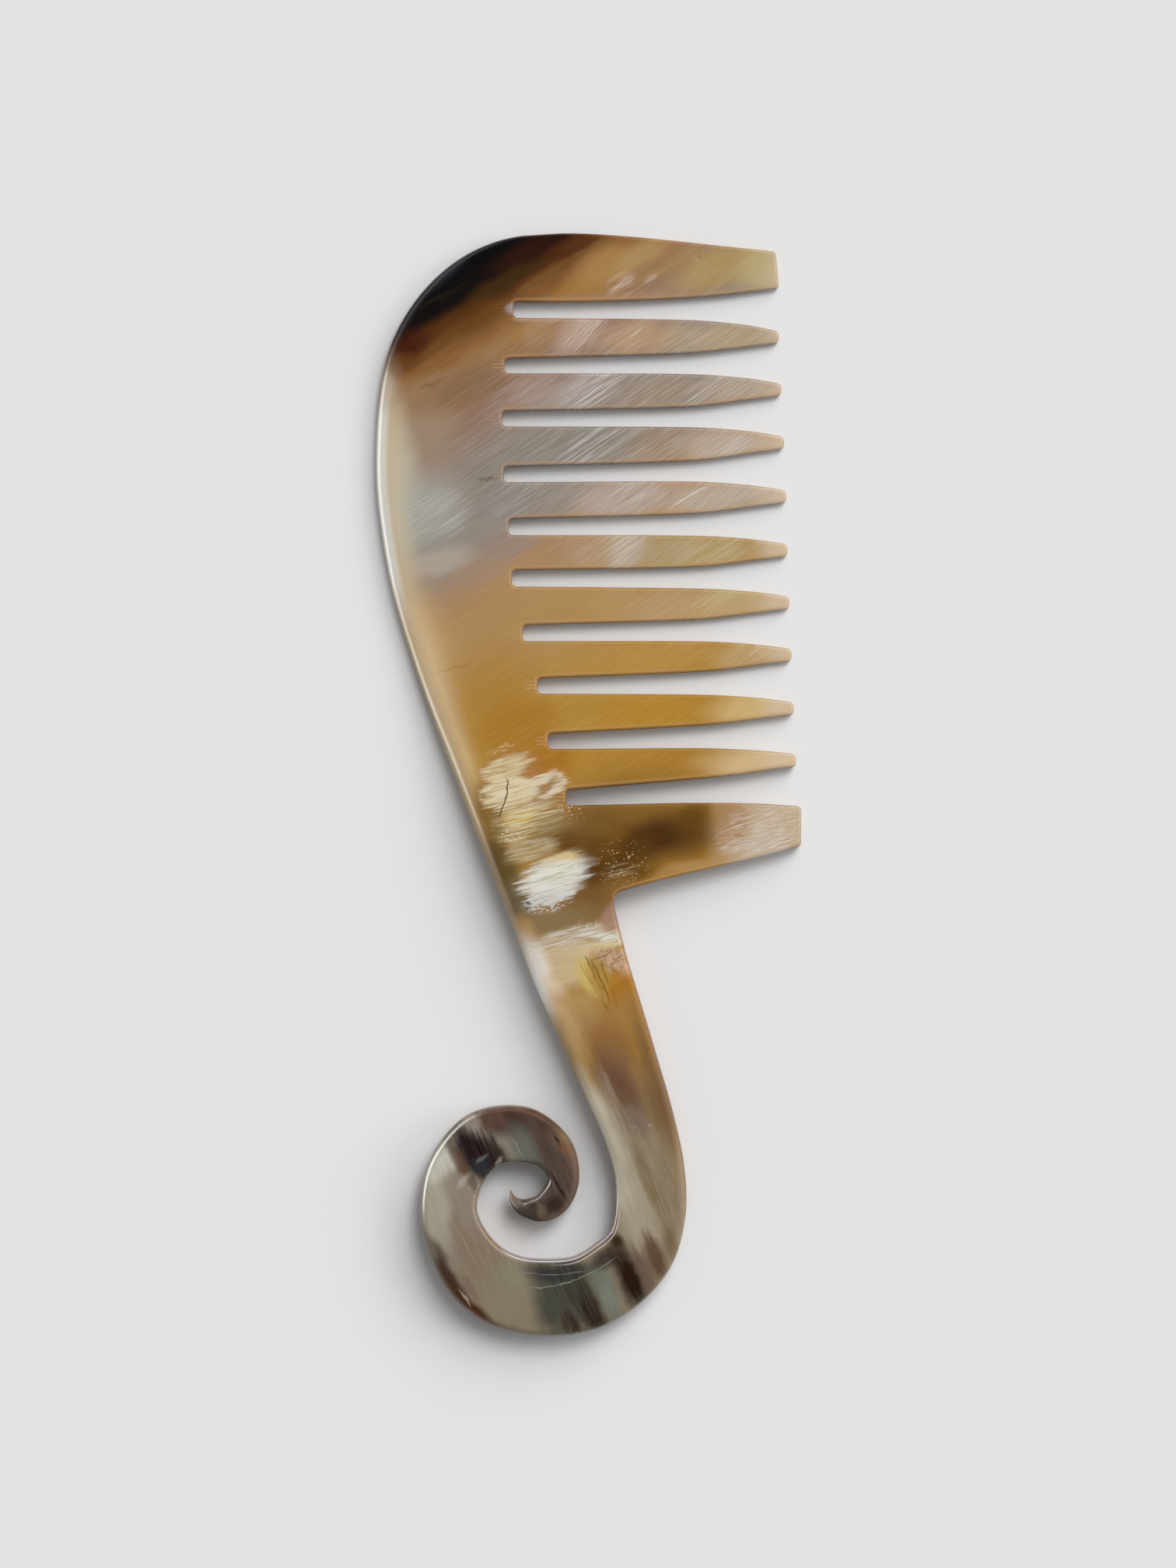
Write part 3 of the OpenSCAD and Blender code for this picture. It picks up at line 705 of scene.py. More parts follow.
    ("guard lines", "streak", "patch", 975, 1072, 54, 34, 20, 0.9, "#d4c9be", 0.7),
    ("guard gold hem", "wash", "patch", 900, 1111, 54, 8, 14, 1.2, "#ad8a58", 0.8),
    ("guard low brown", "wash", "patch", 820, 1120, 22, 8, 14, 1.2, "#6e4e22", 0.85),
    ("guard gold top", "wash", "patch", 830, 1034, 60, 5, 0, 1.2, "#8d6830", 0.5),
    ("guard lilac spot", "streak", "patch", 1003, 1085, 14, 8, 20, 1.0, "#ded4d6", 0.9),
    # around the patch
    ("sand left of patch", "wash", "patch", 602, 1036, 13, 52, 23, 1.2, "#b8955f", 0.95),
    ("olive left of patch", "wash", "patch", 632, 1044, 15, 42, 22, 1.1, "#80602a", 0.95),
    ("olive left lower", "wash", "patch", 646, 1114, 18, 46, 23, 1.1, "#64502c", 0.95),
    ("olive low left", "wash", "patch", 668, 1166, 22, 28, 24, 1.2, "#6e6048", 0.95),
    ("brown right of patch", "wash", "patch", 775, 1112, 42, 46, 0, 1.2, "#573a13", 0.92),
    ("brown above stray", "wash", "patch", 784, 1070, 24, 14, 10, 1.2, "#764f1d", 0.8),
    ("rust between", "wash", "patch", 742, 1086, 24, 16, 20, 1.1, "#6a4419", 0.85),
    ("brown under patch", "wash", "patch", 762, 1160, 48, 22, 8, 1.0, "#7c5a33", 0.9),
    ("amber fillet", "wash", "patch", 800, 1146, 22, 20, 30, 1.2, "#8c6936", 0.7),
    ("under patch olive", "wash", "patch", 708, 1186, 62, 20, 12, 1.2, "#8b7350", 0.95),
    ("neck tan left", "wash", "patch", 668, 1200, 20, 16, -67, 1.2, "#b8925f", 0.9),
    # white patch
    ("patch specks above", "grain", "patch", 648, 962, 18, 4, 22, 1.0, "#d8bd96", 0.7),
    ("patch upper rust", "brush", "patch", 655, 990, 40, 24, 15, 0.5, "#a87844", 0.8),
    ("patch upper", "bristle", "patch", 652, 987, 32, 15, 20, 0.5, "#d6c6a0", 0.95),
    ("patch left", "bristle", "patch", 655, 1020, 36, 22, 8, 0.4, "#d8c9a4", 1.0),
    ("patch left glow", "bristle", "patch", 668, 1014, 38, 11, 12, 0.8, "#dccfae", 0.8),
    ("patch lobe", "bristle", "patch", 706, 1008, 24, 16, 35, 0.35, "#d9cab0", 0.95),
    ("patch lobe heart", "brush", "patch", 704, 1012, 18, 6, 38, 1.0, "#9a733e", 0.85),
    ("patch brown seam", "bristle", "patch", 684, 1034, 26, 4.5, 15, 0.9, "#8c6a38", 0.7),
    ("patch second", "bristle", "patch", 682, 1060, 40, 28, 14, 0.9, "#ac966d", 0.95),
    ("patch second threads", "streak", "patch", 682, 1060, 44, 26, 12, 0.7, "#ddd0b0", 0.7),
    ("patch yellow", "wash", "patch", 668, 1048, 20, 11, 15, 1.4, "#c8ab5c", 0.75),
    ("patch yellow threads", "streak", "patch", 672, 1046, 34, 16, 15, 0.8, "#e2d8bc", 0.6),
    ("patch pale hem", "dust", "patch", 657, 1070, 15, 13, 15, 0.8, "#e0d4ba", 0.9),
    ("patch lobe right", "dust", "patch", 736, 1044, 24, 16, 20, 1.2, "#cfc6b0", 0.9),
    ("patch second brown", "wash", "patch", 716, 1070, 30, 16, 20, 1.3, "#806538", 0.6),
    ("patch brown threads", "streak", "patch", 706, 1086, 44, 14, 18, 0.9, "#5f4620", 0.9),
    ("patch low mix", "bristle", "patch", 684, 1094, 30, 12, 16, 0.8, "#b09d76", 0.9),
    ("patch low threads", "streak", "patch", 682, 1090, 28, 18, 14, 0.7, "#d6caad", 0.5),
    ("patch cream wedge", "brush", "patch", 722, 1105, 30, 9, 18, 0.8, "#d9c694", 0.9),
    ("patch peach", "wash", "patch", 728, 1108, 13, 5, 16, 1.1, "#ddbb84", 0.8),
    ("patch white", "bristle", "patch", 712, 1130, 44, 25, 14, 0.4, "#e2e0d6", 1.0),
    ("patch white core", "brush", "patch", 708, 1132, 36, 17, 14, 0.6, "#e4e2d8", 0.85),
    ("patch white upper", "bristle", "patch", 722, 1117, 42, 9, 16, 0.7, "#e4e2d2", 0.9),
    ("patch white low", "bristle", "patch", 708, 1150, 28, 12, 14, 0.5, "#dcdbd6", 1.0),
    ("patch white threads", "streak", "patch", 704, 1132, 44, 24, 12, 0.7, "#a89b78", 0.6),
    ("patch low fringe", "grain", "patch", 704, 1160, 30, 12, 12, 0.7, "#cfcfd0", 0.9),
    ("brown beside patch", "wash", "patch", 770, 1060, 26, 28, 5, 1.3, "#7b5a2c", 0.9),
    ("brown beside patch low", "wash", "patch", 772, 1094, 24, 18, 10, 1.3, "#6a4922", 0.85),
    ("patch stray specks", "dust", "patch", 800, 1110, 30, 26, 10, 1.1, "#cdb88e", 0.7),
    ("patch stray lumps", "streak", "patch", 796, 1120, 22, 8, 15, 1.0, "#b8a47c", 0.6),
    # neck
    ("neck grey beige", "bristle", "patch", 740, 1211, 74, 19, 13, 0.7, "#c6b8a2", 0.9),
    ("neck silver threads", "streak", "patch", 744, 1206, 62, 15, 13, 0.8, "#dcdad2", 0.75),
    ("neck silver", "dust", "patch", 758, 1192, 22, 9, 8, 0.9, "#e0ddd6", 0.7),
    ("neck mauve", "wash", "patch", 787, 1180, 12, 18, 0, 1.1, "#a98874", 0.85),
    ("neck white lobe", "bristle", "patch", 785, 1207, 18, 8, -12, 0.5, "#dcdccb", 0.9),
    ("neck lemon", "brush", "patch", 772, 1217, 30, 6, 10, 0.8, "#d3c290", 0.85),
    ("neck cream", "wash", "patch", 722, 1243, 54, 26, 10, 1.0, "#cfb994", 0.9),
    ("neck cream threads", "streak", "patch", 716, 1246, 44, 22, 10, 0.9, "#bca679", 0.6),
    ("neck pale edge", "wash", "patch", 688, 1240, 34, 13, -67, 1.3, "#e6dfd4", 0.8),
    ("neck blush", "wash", "patch", 708, 1272, 24, 14, -30, 1.2, "#e0cbb2", 0.8),
    ("neck yellow", "brush", "handle", 757, 1256, 28, 13, -62, 0.9, "#d0b66c", 0.85),
    ("neck crackle", "brush", "handle", 786, 1232, 26, 15, -10, 0.6, "#c8a888", 0.9),
    ("neck crackle gold", "brush", "handle", 772, 1256, 14, 26, 20, 0.7, "#b38b42", 0.85),
    ("neck crackle dark", "grain", "handle", 786, 1234, 24, 14, -20, 0.8, "#8c6c4c", 0.6),
    ("neck rose spot", "wash", "handle", 806, 1250, 7, 10, 0, 1.0, "#ccb29c", 0.85),
    ("neck amber", "wash", "handle", 802, 1274, 18, 26, -10, 1.0, "#a9742a", 0.95),
    ("neck orange", "wash", "handle", 792, 1254, 9, 8, 0, 1.3, "#b88438", 0.5),
    ("neck tan", "wash", "handle", 738, 1304, 38, 32, 14, 1.2, "#b6935f", 0.9),
    ("neck tan left low", "wash", "handle", 718, 1308, 32, 12, -66, 1.3, "#cfb48e", 0.8),
    ("neck gold right", "wash", "handle", 806, 1308, 28, 30, 10, 1.3, "#a67e46", 0.85),
    ("neck pale specks", "grain", "handle", 728, 1318, 20, 10, -35, 0.8, "#c9b096", 0.6),
    ("neck russet", "wash", "handle", 784, 1362, 56, 32, -66, 1.5, "#8a6340", 0.85),
    ("neck right edge", "wash", "handle", 846, 1376, 84, 17, -74, 1.3, "#80613e", 0.88),
    # handle
    ("handle base", "wash", "handle", 817, 1546, 160, 90, -75, 0.8, "#8d7f68", 0.95),
    ("neck tan low", "wash", "handle", 730, 1332, 36, 17, -66, 1.3, "#b3905f", 0.8),
    ("handle olive margin", "wash", "handle", 742, 1372, 56, 9, -64, 1.4, "#a88f68", 0.7),
    ("handle taupe", "wash", "handle", 800, 1402, 50, 20, -62, 1.4, "#6a4c3a", 0.9),
    ("handle right olive", "wash", "handle", 846, 1424, 52, 12, -74, 1.2, "#7a5f40", 0.85),
    ("handle right brown", "wash", "handle", 856, 1424, 46, 9, -78, 1.3, "#75593f", 0.75),
    ("handle flash", "brush", "handle", 784, 1396, 24, 3.4, -64, 1.1, "#a08d7b", 0.45),
    ("handle flash glow", "wash", "handle", 786, 1414, 26, 7, -64, 1.3, "#94826f", 0.5),
    ("handle cream left", "wash", "handle", 778, 1468, 76, 16, -68, 1.2, "#d2cabb", 0.9),
    ("handle grey taupe", "wash", "handle", 816, 1442, 24, 14, -60, 1.0, "#7e6b5c", 0.9),
    ("handle beige", "brush", "handle", 804, 1522, 96, 22, -69, 1.4, "#aca28c", 0.85),
    ("handle olive stripe", "brush", "handle", 832, 1514, 48, 8, -68, 1.2, "#796546", 0.85),
    ("handle pale stripe", "streak", "handle", 806, 1540, 56, 10, -70, 0.9, "#b3aa94", 0.7),
    ("handle right tan", "wash", "handle", 862, 1528, 66, 13, -83, 1.2, "#8a775d", 0.8),
    ("handle low pale", "wash", "handle", 822, 1578, 34, 15, -70, 1.1, "#a39782", 0.85),
    ("handle pale lines", "streak", "handle", 812, 1520, 120, 52, -68, 0.7, "#cbc2b0", 0.12),
    ("handle dot", "spot", "handle", 836, 1446, 2.4, 1.8, 0, 1.2, "#a99f8f", 0.4),
    ("handle dot two", "spot", "handle", 815, 1449, 4, 2.2, 0, 1.2, "#a0948a", 0.35),
    # curl, lower right
    ("curl base left", "wash", "handle", 600, 1540, 150, 130, 90, 0.4, "#8c8272", 1.0),
    ("curl ground", "wash", "handle", 690, 1668, 170, 60, 0, 0.4, "#877b67", 1.0),
    ("curl olive", "brush", "handle", 706, 1664, 54, 24, -72, 1.1, "#43443c", 0.92),
    ("curl inner shade", "wash", "handle", 718, 1634, 46, 9, 4, 1.2, "#39343a", 0.85),
    ("curl ink", "brush", "handle", 744, 1660, 54, 21, -66, 1.1, "#393731", 0.95),
    ("curl black foot", "brush", "handle", 764, 1688, 26, 13, -62, 1.1, "#33261f", 0.9),
    ("curl umber foot", "brush", "handle", 735, 1700, 18, 11, -70, 1.0, "#3a2f27", 0.92),
    ("curl slate lines", "streak", "handle", 734, 1664, 44, 30, -68, 0.9, "#62655f", 0.28),
    ("curl celadon", "brush", "handle", 778, 1656, 42, 12, -66, 1.1, "#6d7165", 0.9),
    ("curl celadon glow", "wash", "handle", 782, 1664, 20, 8, -66, 1.3, "#81857a", 0.6),
    ("curl brown start", "wash", "handle", 792, 1594, 11, 8, -30, 1.2, "#423021", 0.95),
    ("curl bole", "wash", "handle", 778, 1608, 14, 7, 30, 1.2, "#4d3f38", 0.8),
    ("curl bole shade", "wash", "handle", 780, 1617, 24, 10, 25, 1.2, "#443a34", 0.9),
    ("curl dark stripe", "brush", "handle", 811, 1642, 46, 16, -68, 1.2, "#30231d", 1.0),
    ("curl taupe stripe", "brush", "handle", 830, 1636, 36, 9, -66, 1.0, "#6b584b", 0.8),
    ("curl red stripe", "brush", "handle", 843, 1616, 30, 12, -66, 1.2, "#5c4031", 0.9),
    ("curl right foot", "wash", "handle", 864, 1604, 30, 9, -72, 1.2, "#76634a", 0.85),
    # curl, left
    ("curl fawn", "brush", "handle", 604, 1592, 62, 30, -62, 1.1, "#857361", 0.9),
    ("curl cream rim", "wash", "handle", 560, 1535, 70, 20, -86, 1.1, "#a69f8c", 0.9),
    ("curl cream upper", "wash", "handle", 572, 1492, 32, 16, 50, 1.1, "#c4c0b2", 0.95),
    ("curl pale lines", "streak", "handle", 610, 1556, 90, 90, -67, 0.6, "#bdb6a8", 0.12),
    ("curl mushroom", "brush", "handle", 596, 1545, 44, 14, -66, 1.0, "#8f8374", 0.8),
    ("curl olive foot", "wash", "handle", 655, 1660, 34, 34, 0, 1.2, "#8a7f69", 0.8),
    ("curl sage", "wash", "handle", 659, 1642, 18, 12, -40, 1.3, "#878b74", 0.45),
    ("curl spindle", "wash", "handle", 580, 1641, 56, 8, -62, 1.3, "#453329", 0.97),
    ("curl spindle foot", "wash", "handle", 610, 1685, 36, 9, -44, 1.2, "#4c301c", 1.0),
    ("curl sliver", "spot", "handle", 599, 1668, 12, 1.5, -55, 1.0, "#a89b92", 0.7),
    ("curl blush by sliver", "brush", "handle", 606, 1658, 26, 5, -56, 1.0, "#7d6558", 0.7),
    # curl, top
    ("curl top brown", "wash", "handle", 668, 1440, 66, 22, 0, 0.9, "#4f3b33", 0.95),
    ("curl top rust", "wash", "handle", 636, 1440, 26, 11, 15, 1.4, "#634a3e", 0.7),
    ("curl top plum", "brush", "handle", 664, 1448, 30, 9, -62, 1.1, "#3c2e2c", 0.7),
    ("curl top beige", "brush", "handle", 607, 1444, 18, 9, -50, 1.2, "#9a8e84", 0.8),
    ("curl right brown", "wash", "handle", 710, 1500, 66, 32, -66, 1.1, "#4e3f39", 0.95),
    ("curl right lines", "streak", "handle", 706, 1496, 60, 30, -64, 0.8, "#6e625a", 0.35),
    ("curl right tan", "wash", "handle", 738, 1488, 34, 10, -80, 1.3, "#6c5648", 0.8),
    ("curl grey green", "wash", "handle", 673, 1476, 32, 15, -62, 1.3, "#6a6a62", 0.9),
    ("curl black patch", "brush", "handle", 612, 1484, 44, 21, -48, 0.9, "#292021", 1.0),
    ("curl black fringe", "brush", "handle", 636, 1482, 28, 13, -55, 1.1, "#2b2120", 0.9),
    ("curl brown fringe", "brush", "handle", 592, 1494, 34, 7, -60, 1.2, "#5c4434", 0.8),
    ("curl black lines", "streak", "handle", 612, 1476, 34, 20, -56, 0.9, "#5c4f4a", 0.4),
    ("curl patch steel", "wash", "handle", 618, 1500, 14, 10, -50, 1.1, "#36373c", 0.8),
    ("curl mark one", "spot", "handle", 620, 1489, 9, 2.6, 38, 1.1, "#6c6a69", 0.7),
    ("curl mark two", "spot", "handle", 641, 1494, 8, 2.6, 58, 0.9, "#92857c", 0.85),
    ("curl light blob", "wash", "handle", 597, 1518, 12, 4, 55, 1.3, "#b4aea2", 0.5),
    ("curl hair line", "spot", "handle", 666, 1476, 14, 0.9, -60, 1.0, "#8c908a", 0.6),
    ("curl slit", "spot", "handle", 718, 1468, 9, 2.2, -62, 0.9, "#221a16", 0.9),
    ("curl slit glow", "wash", "handle", 727, 1474, 12, 5, -62, 1.1, "#7c5a44", 0.7),
    ("curl dark line", "spot", "handle", 719, 1525, 20, 1.8, -60, 1.0, "#2c2220", 0.85),
    ("hook brown", "wash", "handle", 686, 1556, 34, 20, 20, 0.9, "#453731", 0.95),
    ("hook dark", "wash", "handle", 715, 1546, 14, 12, -60, 1.2, "#352a27", 0.8),
    ("hook olive", "brush", "handle", 697, 1556, 14, 6, -70, 1.2, "#665d4c", 0.8),
    ("hook rust", "wash", "handle", 661, 1544, 9, 8, -50, 0.9, "#786558", 0.8),
]

# Thin lines: corner points, half width, colour, amount
STROKES = {
    "patch crack": ([(652.8, 1004), (652.8, 1020), (649, 1032), (644.4, 1041), (643.3, 1050)], 1.0, "#4a2219", 0.9),
    "patch upper crack": ([(651, 1000), (653, 1006)], 1.0, "#7a5a3c", 0.6),
    "curl arc": ([(678, 1655), (712, 1652), (741, 1644), (768, 1631), (790, 1616)], 0.9, "#8f9890", 0.5),
    "curl upper arc": ([(664, 1634), (690, 1637), (722, 1637), (752, 1633)], 0.8, "#868e88", 0.45),
    "neck crack 1": ([(752, 1230), (760, 1244), (767, 1260), (775, 1276)], 0.8, "#6b4a1e", 0.7),
    "neck crack 2": ([(761, 1236), (768, 1250), (776, 1264), (781, 1278)], 0.8, "#5c401c", 0.7),
    "neck crack 3": ([(772, 1236), (775, 1250), (782, 1262)], 0.8, "#6b4c1e", 0.7),
    "neck crack 4": ([(775, 1276), (777, 1288), (781, 1297)], 0.7, "#6c4a20", 0.5),
    "neck crack 5": ([(787, 1270), (791, 1284), (794, 1296)], 0.8, "#8a5f24", 0.5),
    "neck crack 6": ([(746, 1238), (754, 1254), (762, 1268)], 0.8, "#8f742f", 0.6),
    "neck crack 7": ([(757, 1233), (764, 1247), (771, 1262), (777, 1272)], 0.7, "#7a5a26", 0.6),
    "neck crack 8": ([(766, 1240), (771, 1254), (778, 1268), (783, 1286)], 0.7, "#74501e", 0.6),
    "neck crack 9": ([(768, 1268), (774, 1283), (780, 1297)], 0.6, "#7c5a28", 0.45),
    "neck crack 10": ([(752, 1240), (758, 1256), (766, 1272), (772, 1284)], 0.6, "#96782e", 0.6),
    "neck crackle line": ([(760, 1236), (768, 1230), (777, 1229), (786, 1224)], 0.7, "#6e4c2c", 0.6),
    "neck crackle second": ([(786, 1240), (794, 1232), (800, 1228), (805, 1236)], 0.7, "#7a5636", 0.55),
}

# Lines that follow the edge inside a soft ellipse, many of them painted highlights and painted shade on the rounded
# edges: the ellipse as for the zones, then how far in from the outline and half how wide in millimetres, colour, amount
EDGES = {
    # painted highlight on the curl's rounded upper-left edge
    "highlight on curl shoulder": (572, 1496, 66, 22, 62, 0.9, 0.66, 0.30, "#f4f1ec", 0.9),
    "brown on curl top": (672, 1428, 44, 12, -4, 1.0, 0.75, 0.22, "#7a4a36", 0.6),
    # painted highlights on the curl's inner rim and the hook, with painted shade between two of them
    "highlight in curl bottom": (722, 1606, 84, 24, 12, 0.7, 0.24, 0.22, "#dcd5de", 0.9),
    "second highlight in curl": (764, 1592, 52, 22, 38, 0.8, 0.86, 0.16, "#d2c6ca", 0.8),
    "shade between highlights": (766, 1592, 46, 20, 38, 0.8, 0.56, 0.14, "#3f322c", 0.8),
    "highlight in hook": (696, 1530, 19, 14, 26, 0.7, 0.36, 0.22, "#cfc5cb", 0.5),
    "orange foot of curl": (600, 1686, 60, 20, -40, 0.9, 0.40, 0.45, "#7c4e2b", 0.85),
    "tan beside hole": (622, 1566, 56, 12, -72, 0.9, 0.50, 0.16, "#b79c88", 0.5),
    # painted highlight: bright band on the neck's rounded left edge
    "highlight on neck": (690, 1256, 44, 26, -67, 1.4, 0.3, 1.9, "#fcf9f4", 0.9),
    "brown on right of neck": (806, 1240, 110, 22, -72, 0.8, 0.1, 0.4, "#8a5c38", 0.7),
    "brown on right of handle": (872, 1440, 130, 22, -80, 0.8, 0.1, 0.4, "#6e4f35", 0.6),
    # partly the handle's cream horn, partly a painted highlight along its rounded edge
    "cream and highlight on handle": (772, 1478, 80, 16, -70, 1.0, 0.55, 0.50, "#d6d0c4", 0.5),
}

mat = bpy.data.materials.new("horn")
mat.use_nodes = True
tree = mat.node_tree
bsdf = tree.nodes["Principled BSDF"]


def linear(code, lift=0.011):
    """Surface colour that looks like the sRGB code once lit."""
    c = [int(code[i:i + 2], 16) / 255 for i in (1, 3, 5)]
    c = [((x + 0.055) / 1.055) ** 2.4 if x > 0.04045 else x / 12.92 for x in c]
    return tuple(max(0.0015, x - lift) for x in c) + (1.0,)


def put(socket, value):
    if isinstance(value, bpy.types.NodeSocket):
        tree.links.new(value, socket)
    elif value is not None:
        socket.default_value = value


def calc(op, a, b=None, c=None, clamp=False):
    k = tree.nodes.new("ShaderNodeMath")
    k.operation, k.use_clamp = op, clamp
    for s, v in zip(k.inputs, (a, b, c)):
        put(s, v)
    return k.outputs[0]


def vcalc(op, a, b=None, scale=None):
    k = tree.nodes.new("ShaderNodeVectorMath")
    k.operation = op
    put(k.inputs[0], a)
    put(k.inputs[1], b)
    if scale is not None:
        put(k.inputs["Scale"], scale)
    return k.outputs["Value"] if op in ("LENGTH", "DOT_PRODUCT") else k.outputs["Vector"]


def place_of(vector, kind, loc=(0, 0, 0), turn=0.0, scale=(1, 1, 1)):
    k = tree.nodes.new("ShaderNodeMapping")
    k.vector_type = kind
    put(k.inputs["Vector"], vector)
    put(k.inputs["Location"], loc)
    put(k.inputs["Rotation"], (0, 0, turn))
    put(k.inputs["Scale"], scale)
    return k.outputs["Vector"]


def fibres(vector, angle, along, across, shift=0.0):
    """Coordinates stretched along the fibres, for noise."""
    return place_of(vector, "TEXTURE", (shift, shift * 0.7, shift * 0.3), -math.radians(angle), (along, across, across))


def noise(vector, detail=2.0, rough=0.5, colour=False):
    k = tree.nodes.new("ShaderNodeTexNoise")
    put(k.inputs["Vector"], vector)
    k.inputs["Scale"].default_value = 1.0
    k.inputs["Detail"].default_value = detail
    k.inputs["Roughness"].default_value = rough
    return k.outputs["Color" if colour else "Fac"]


def step(value, lo, hi, to_lo=0.0, to_hi=1.0, kind="SMOOTHSTEP"):
    k = tree.nodes.new("ShaderNodeMapRange")
    k.interpolation_type, k.clamp = kind, False
    for s, v in zip(k.inputs, (value, lo, hi, to_lo, to_hi)):
        put(s, v)
    return k.outputs[0]


def mix(fac, a, b, mode="MIX"):
    k = tree.nodes.new("ShaderNodeMix")
    k.data_type, k.blend_type = "RGBA", mode
    put(k.inputs[0], fac)
    put(k.inputs[6], a)
    put(k.inputs[7], b)
    return k.outputs[2]


def attribute(name):
    k = tree.nodes.new("ShaderNodeAttribute")
    k.attribute_name = name
    return k.outputs["Fac"]


def paint(base, place, u, v, a, b, angle, soft, tint, amount, pattern=None, label=""):
    """Paints one zone, an ellipse with a soft edge, over the colour below it."""
    far, near = 1 + soft / 2, max(0.0, 1 - soft / 2)
    local = place_of(place, "TEXTURE", (u, v, 0), -math.radians(angle), (a * far, b * far, 1000))
    ball = tree.nodes.new("ShaderNodeTexGradient")
    ball.gradient_type, ball.label = "SPHERICAL", label
    put(ball.inputs[0], local)
    mask = step(ball.outputs[1], 0.0, 1 - near / far, 0.0, amount)
    return mix(mask if pattern is None else calc("MULTIPLY", mask, pattern), base, tint)


# Places on the comb in frame units: u to the right, v down, w up from the floor
coords = tree.nodes.new("ShaderNodeTexCoord").outputs["Object"]
P = place_of(coords, "POINT", loc=(756.5, 1008.5, 0), scale=(8000, -8000, 8000))


def wander(vector, size, reach):
    """Bends a place softly, by noise of one size."""
    shake = vcalc("SUBTRACT", noise(place_of(vector, "TEXTURE", scale=(size, size, size)), 1.5, 0.5, True), (0.5, 0.5, 0.5))
    return vcalc("ADD", vector, vcalc("SCALE", shake, scale=reach))


bent = wander(P, 48.0, 18.0)
trim = wander(P, 13.0, 7.0)

ragged, fine, middle, broad, streaks, bristles = {}, {}, {}, {}, {}, {}
for name, angle in FIBRE.items():
    a = math.radians(angle)
    coarse = noise(fibres(P, angle, 70, 5, 11), 2.0)
    hairy = noise(fibres(P, angle, 26, 2.2, 23), 2.0)
    far, near = RAGGED[name]
    push = calc("MULTIPLY_ADD", coarse, far, calc("MULTIPLY_ADD", hairy, near, -(far + near) / 2))
    ragged[name] = vcalc("ADD", trim, vcalc("SCALE", (math.cos(a), -math.sin(a), 0), scale=push))
    fine[name] = hairy
    middle[name] = noise(fibres(bent, angle, 150, 8, 37), 3.0, 0.6)
    broad[name] = noise(fibres(bent, angle, 300, 26, 53), 2.0)
    lines = noise(fibres(P, angle, 38 if name == "patch" else 70, 1.7 if name == "patch" else 2.5, 71), 2.0, 0.6)
    streaks[name] = step(lines, 0.42, 0.66)
    bristles[name] = step(calc("ADD", calc("MULTIPLY", lines, 0.6), calc("MULTIPLY", hairy, 0.4)), 0.40, 0.55, 0.35, 1.0)
speckle = noise(fibres(P, FIBRE["patch"], 6.5, 3.0, 97), 2.0, 0.7)
grain = step(speckle, 0.46, 0.60)
cells = tree.nodes.new("ShaderNodeTexVoronoi")
cells.inputs["Scale"].default_value = 1.0
put(cells.inputs["Vector"], fibres(P, FIBRE["patch"], 4.8, 3.2, 131))
dust = calc("MULTIPLY", step(cells.outputs["Distance"], 0.36, 0.22), step(noise(fibres(P, FIBRE["patch"], 16, 5, 151), 1.0, 0.5), 0.44, 0.52))
streaks["steep"] = step(noise(fibres(P, 47, 60, 2.6, 83), 2.0, 0.6), 0.42, 0.66)

# Ground of the blade, in bands along its fibres
a = math.radians(FIBRE["blade"])
across = vcalc("DOT_PRODUCT", bent, (math.sin(a), math.cos(a), 0))
across = calc("MULTIPLY_ADD", broad["blade"], 34.0, calc("ADD", across, -17.0))
across = calc("MULTIPLY_ADD", middle["blade"], 20.0, calc("ADD", across, -10.0))
first, last = GROUND[0][0], GROUND[-1][0]
share = step(across, first, last, kind="LINEAR")
ramp = tree.nodes.new("ShaderNodeValToRGB")
put(ramp.inputs[0], share)
bar = ramp.color_ramp.elements
while len(bar) > 1:
    bar.remove(bar[0])
bar[0].position, bar[0].color = 0.0, linear(GROUND[0][1])
for s, code in GROUND[1:]:
    e = bar.new((s - first) / (last - first))
    e.color = linear(code)
colour = ramp.outputs[0]

# The places wait for every pattern, which keeps the long chain of zones in order for the
# renderer; the shift itself is far too small to see
wait = vcalc("DOT_PRODUCT", colour, (1.0, 1.0, 1.0))
for part in list(streaks.values()) + list(bristles.values()) + [grain, dust]:
    wait = calc("ADD", wait, part)
wait = vcalc("SCALE", (1e-6, 0, 0), scale=wait)


def held(vector):
    k = tree.nodes.new("ShaderNodeMapping")
    put(k.inputs["Vector"], vector)
    put(k.inputs["Location"], wait)
    return k.outputs["Vector"]


soft_place, trim_place = held(bent), held(trim)
rag_place = {name: held(v) for name, v in ragged.items()}
rag_place["steep"] = rag_place["blade"]

for label, kind, fibre, u, v, za, zb, angle, soft, code, amount in ZONES:
    where = {"wash": soft_place, "brush": rag_place[fibre], "streak": soft_place, "bristle": rag_place[fibre], "grain": trim_place, "dust": trim_place, "spot": trim_place}[kind]
    pattern = {"streak": streaks[fibre], "bristle": bristles.get(fibre), "grain": grain, "dust": dust}.get(kind)
    colour = paint(colour, where, u, v, za, zb, angle, soft, linear(code), amount, pattern, label)

# Saw marks just past the roots of the gaps
ripple = calc("SINE", calc("MULTIPLY", vcalc("DOT_PRODUCT", P, (0.0, 1.0, 0.0)), 1.4))
ripple = step(ripple, -0.1, 0.7)
for k, (x, y, w) in enumerate(GAPS):
    u, v = 756.5 + 8 * x, 1008.5 - 8 * y
    colour = paint(colour, trim_place, u - 5, v, 11, 7, 0, 0.7, linear("#c9a283"), (0.18, 0.42, 0.2, 0.25, 0.18, 0.18, 0.18, 0.42, 0.35, 0.42)[k], ripple, "saw marks")

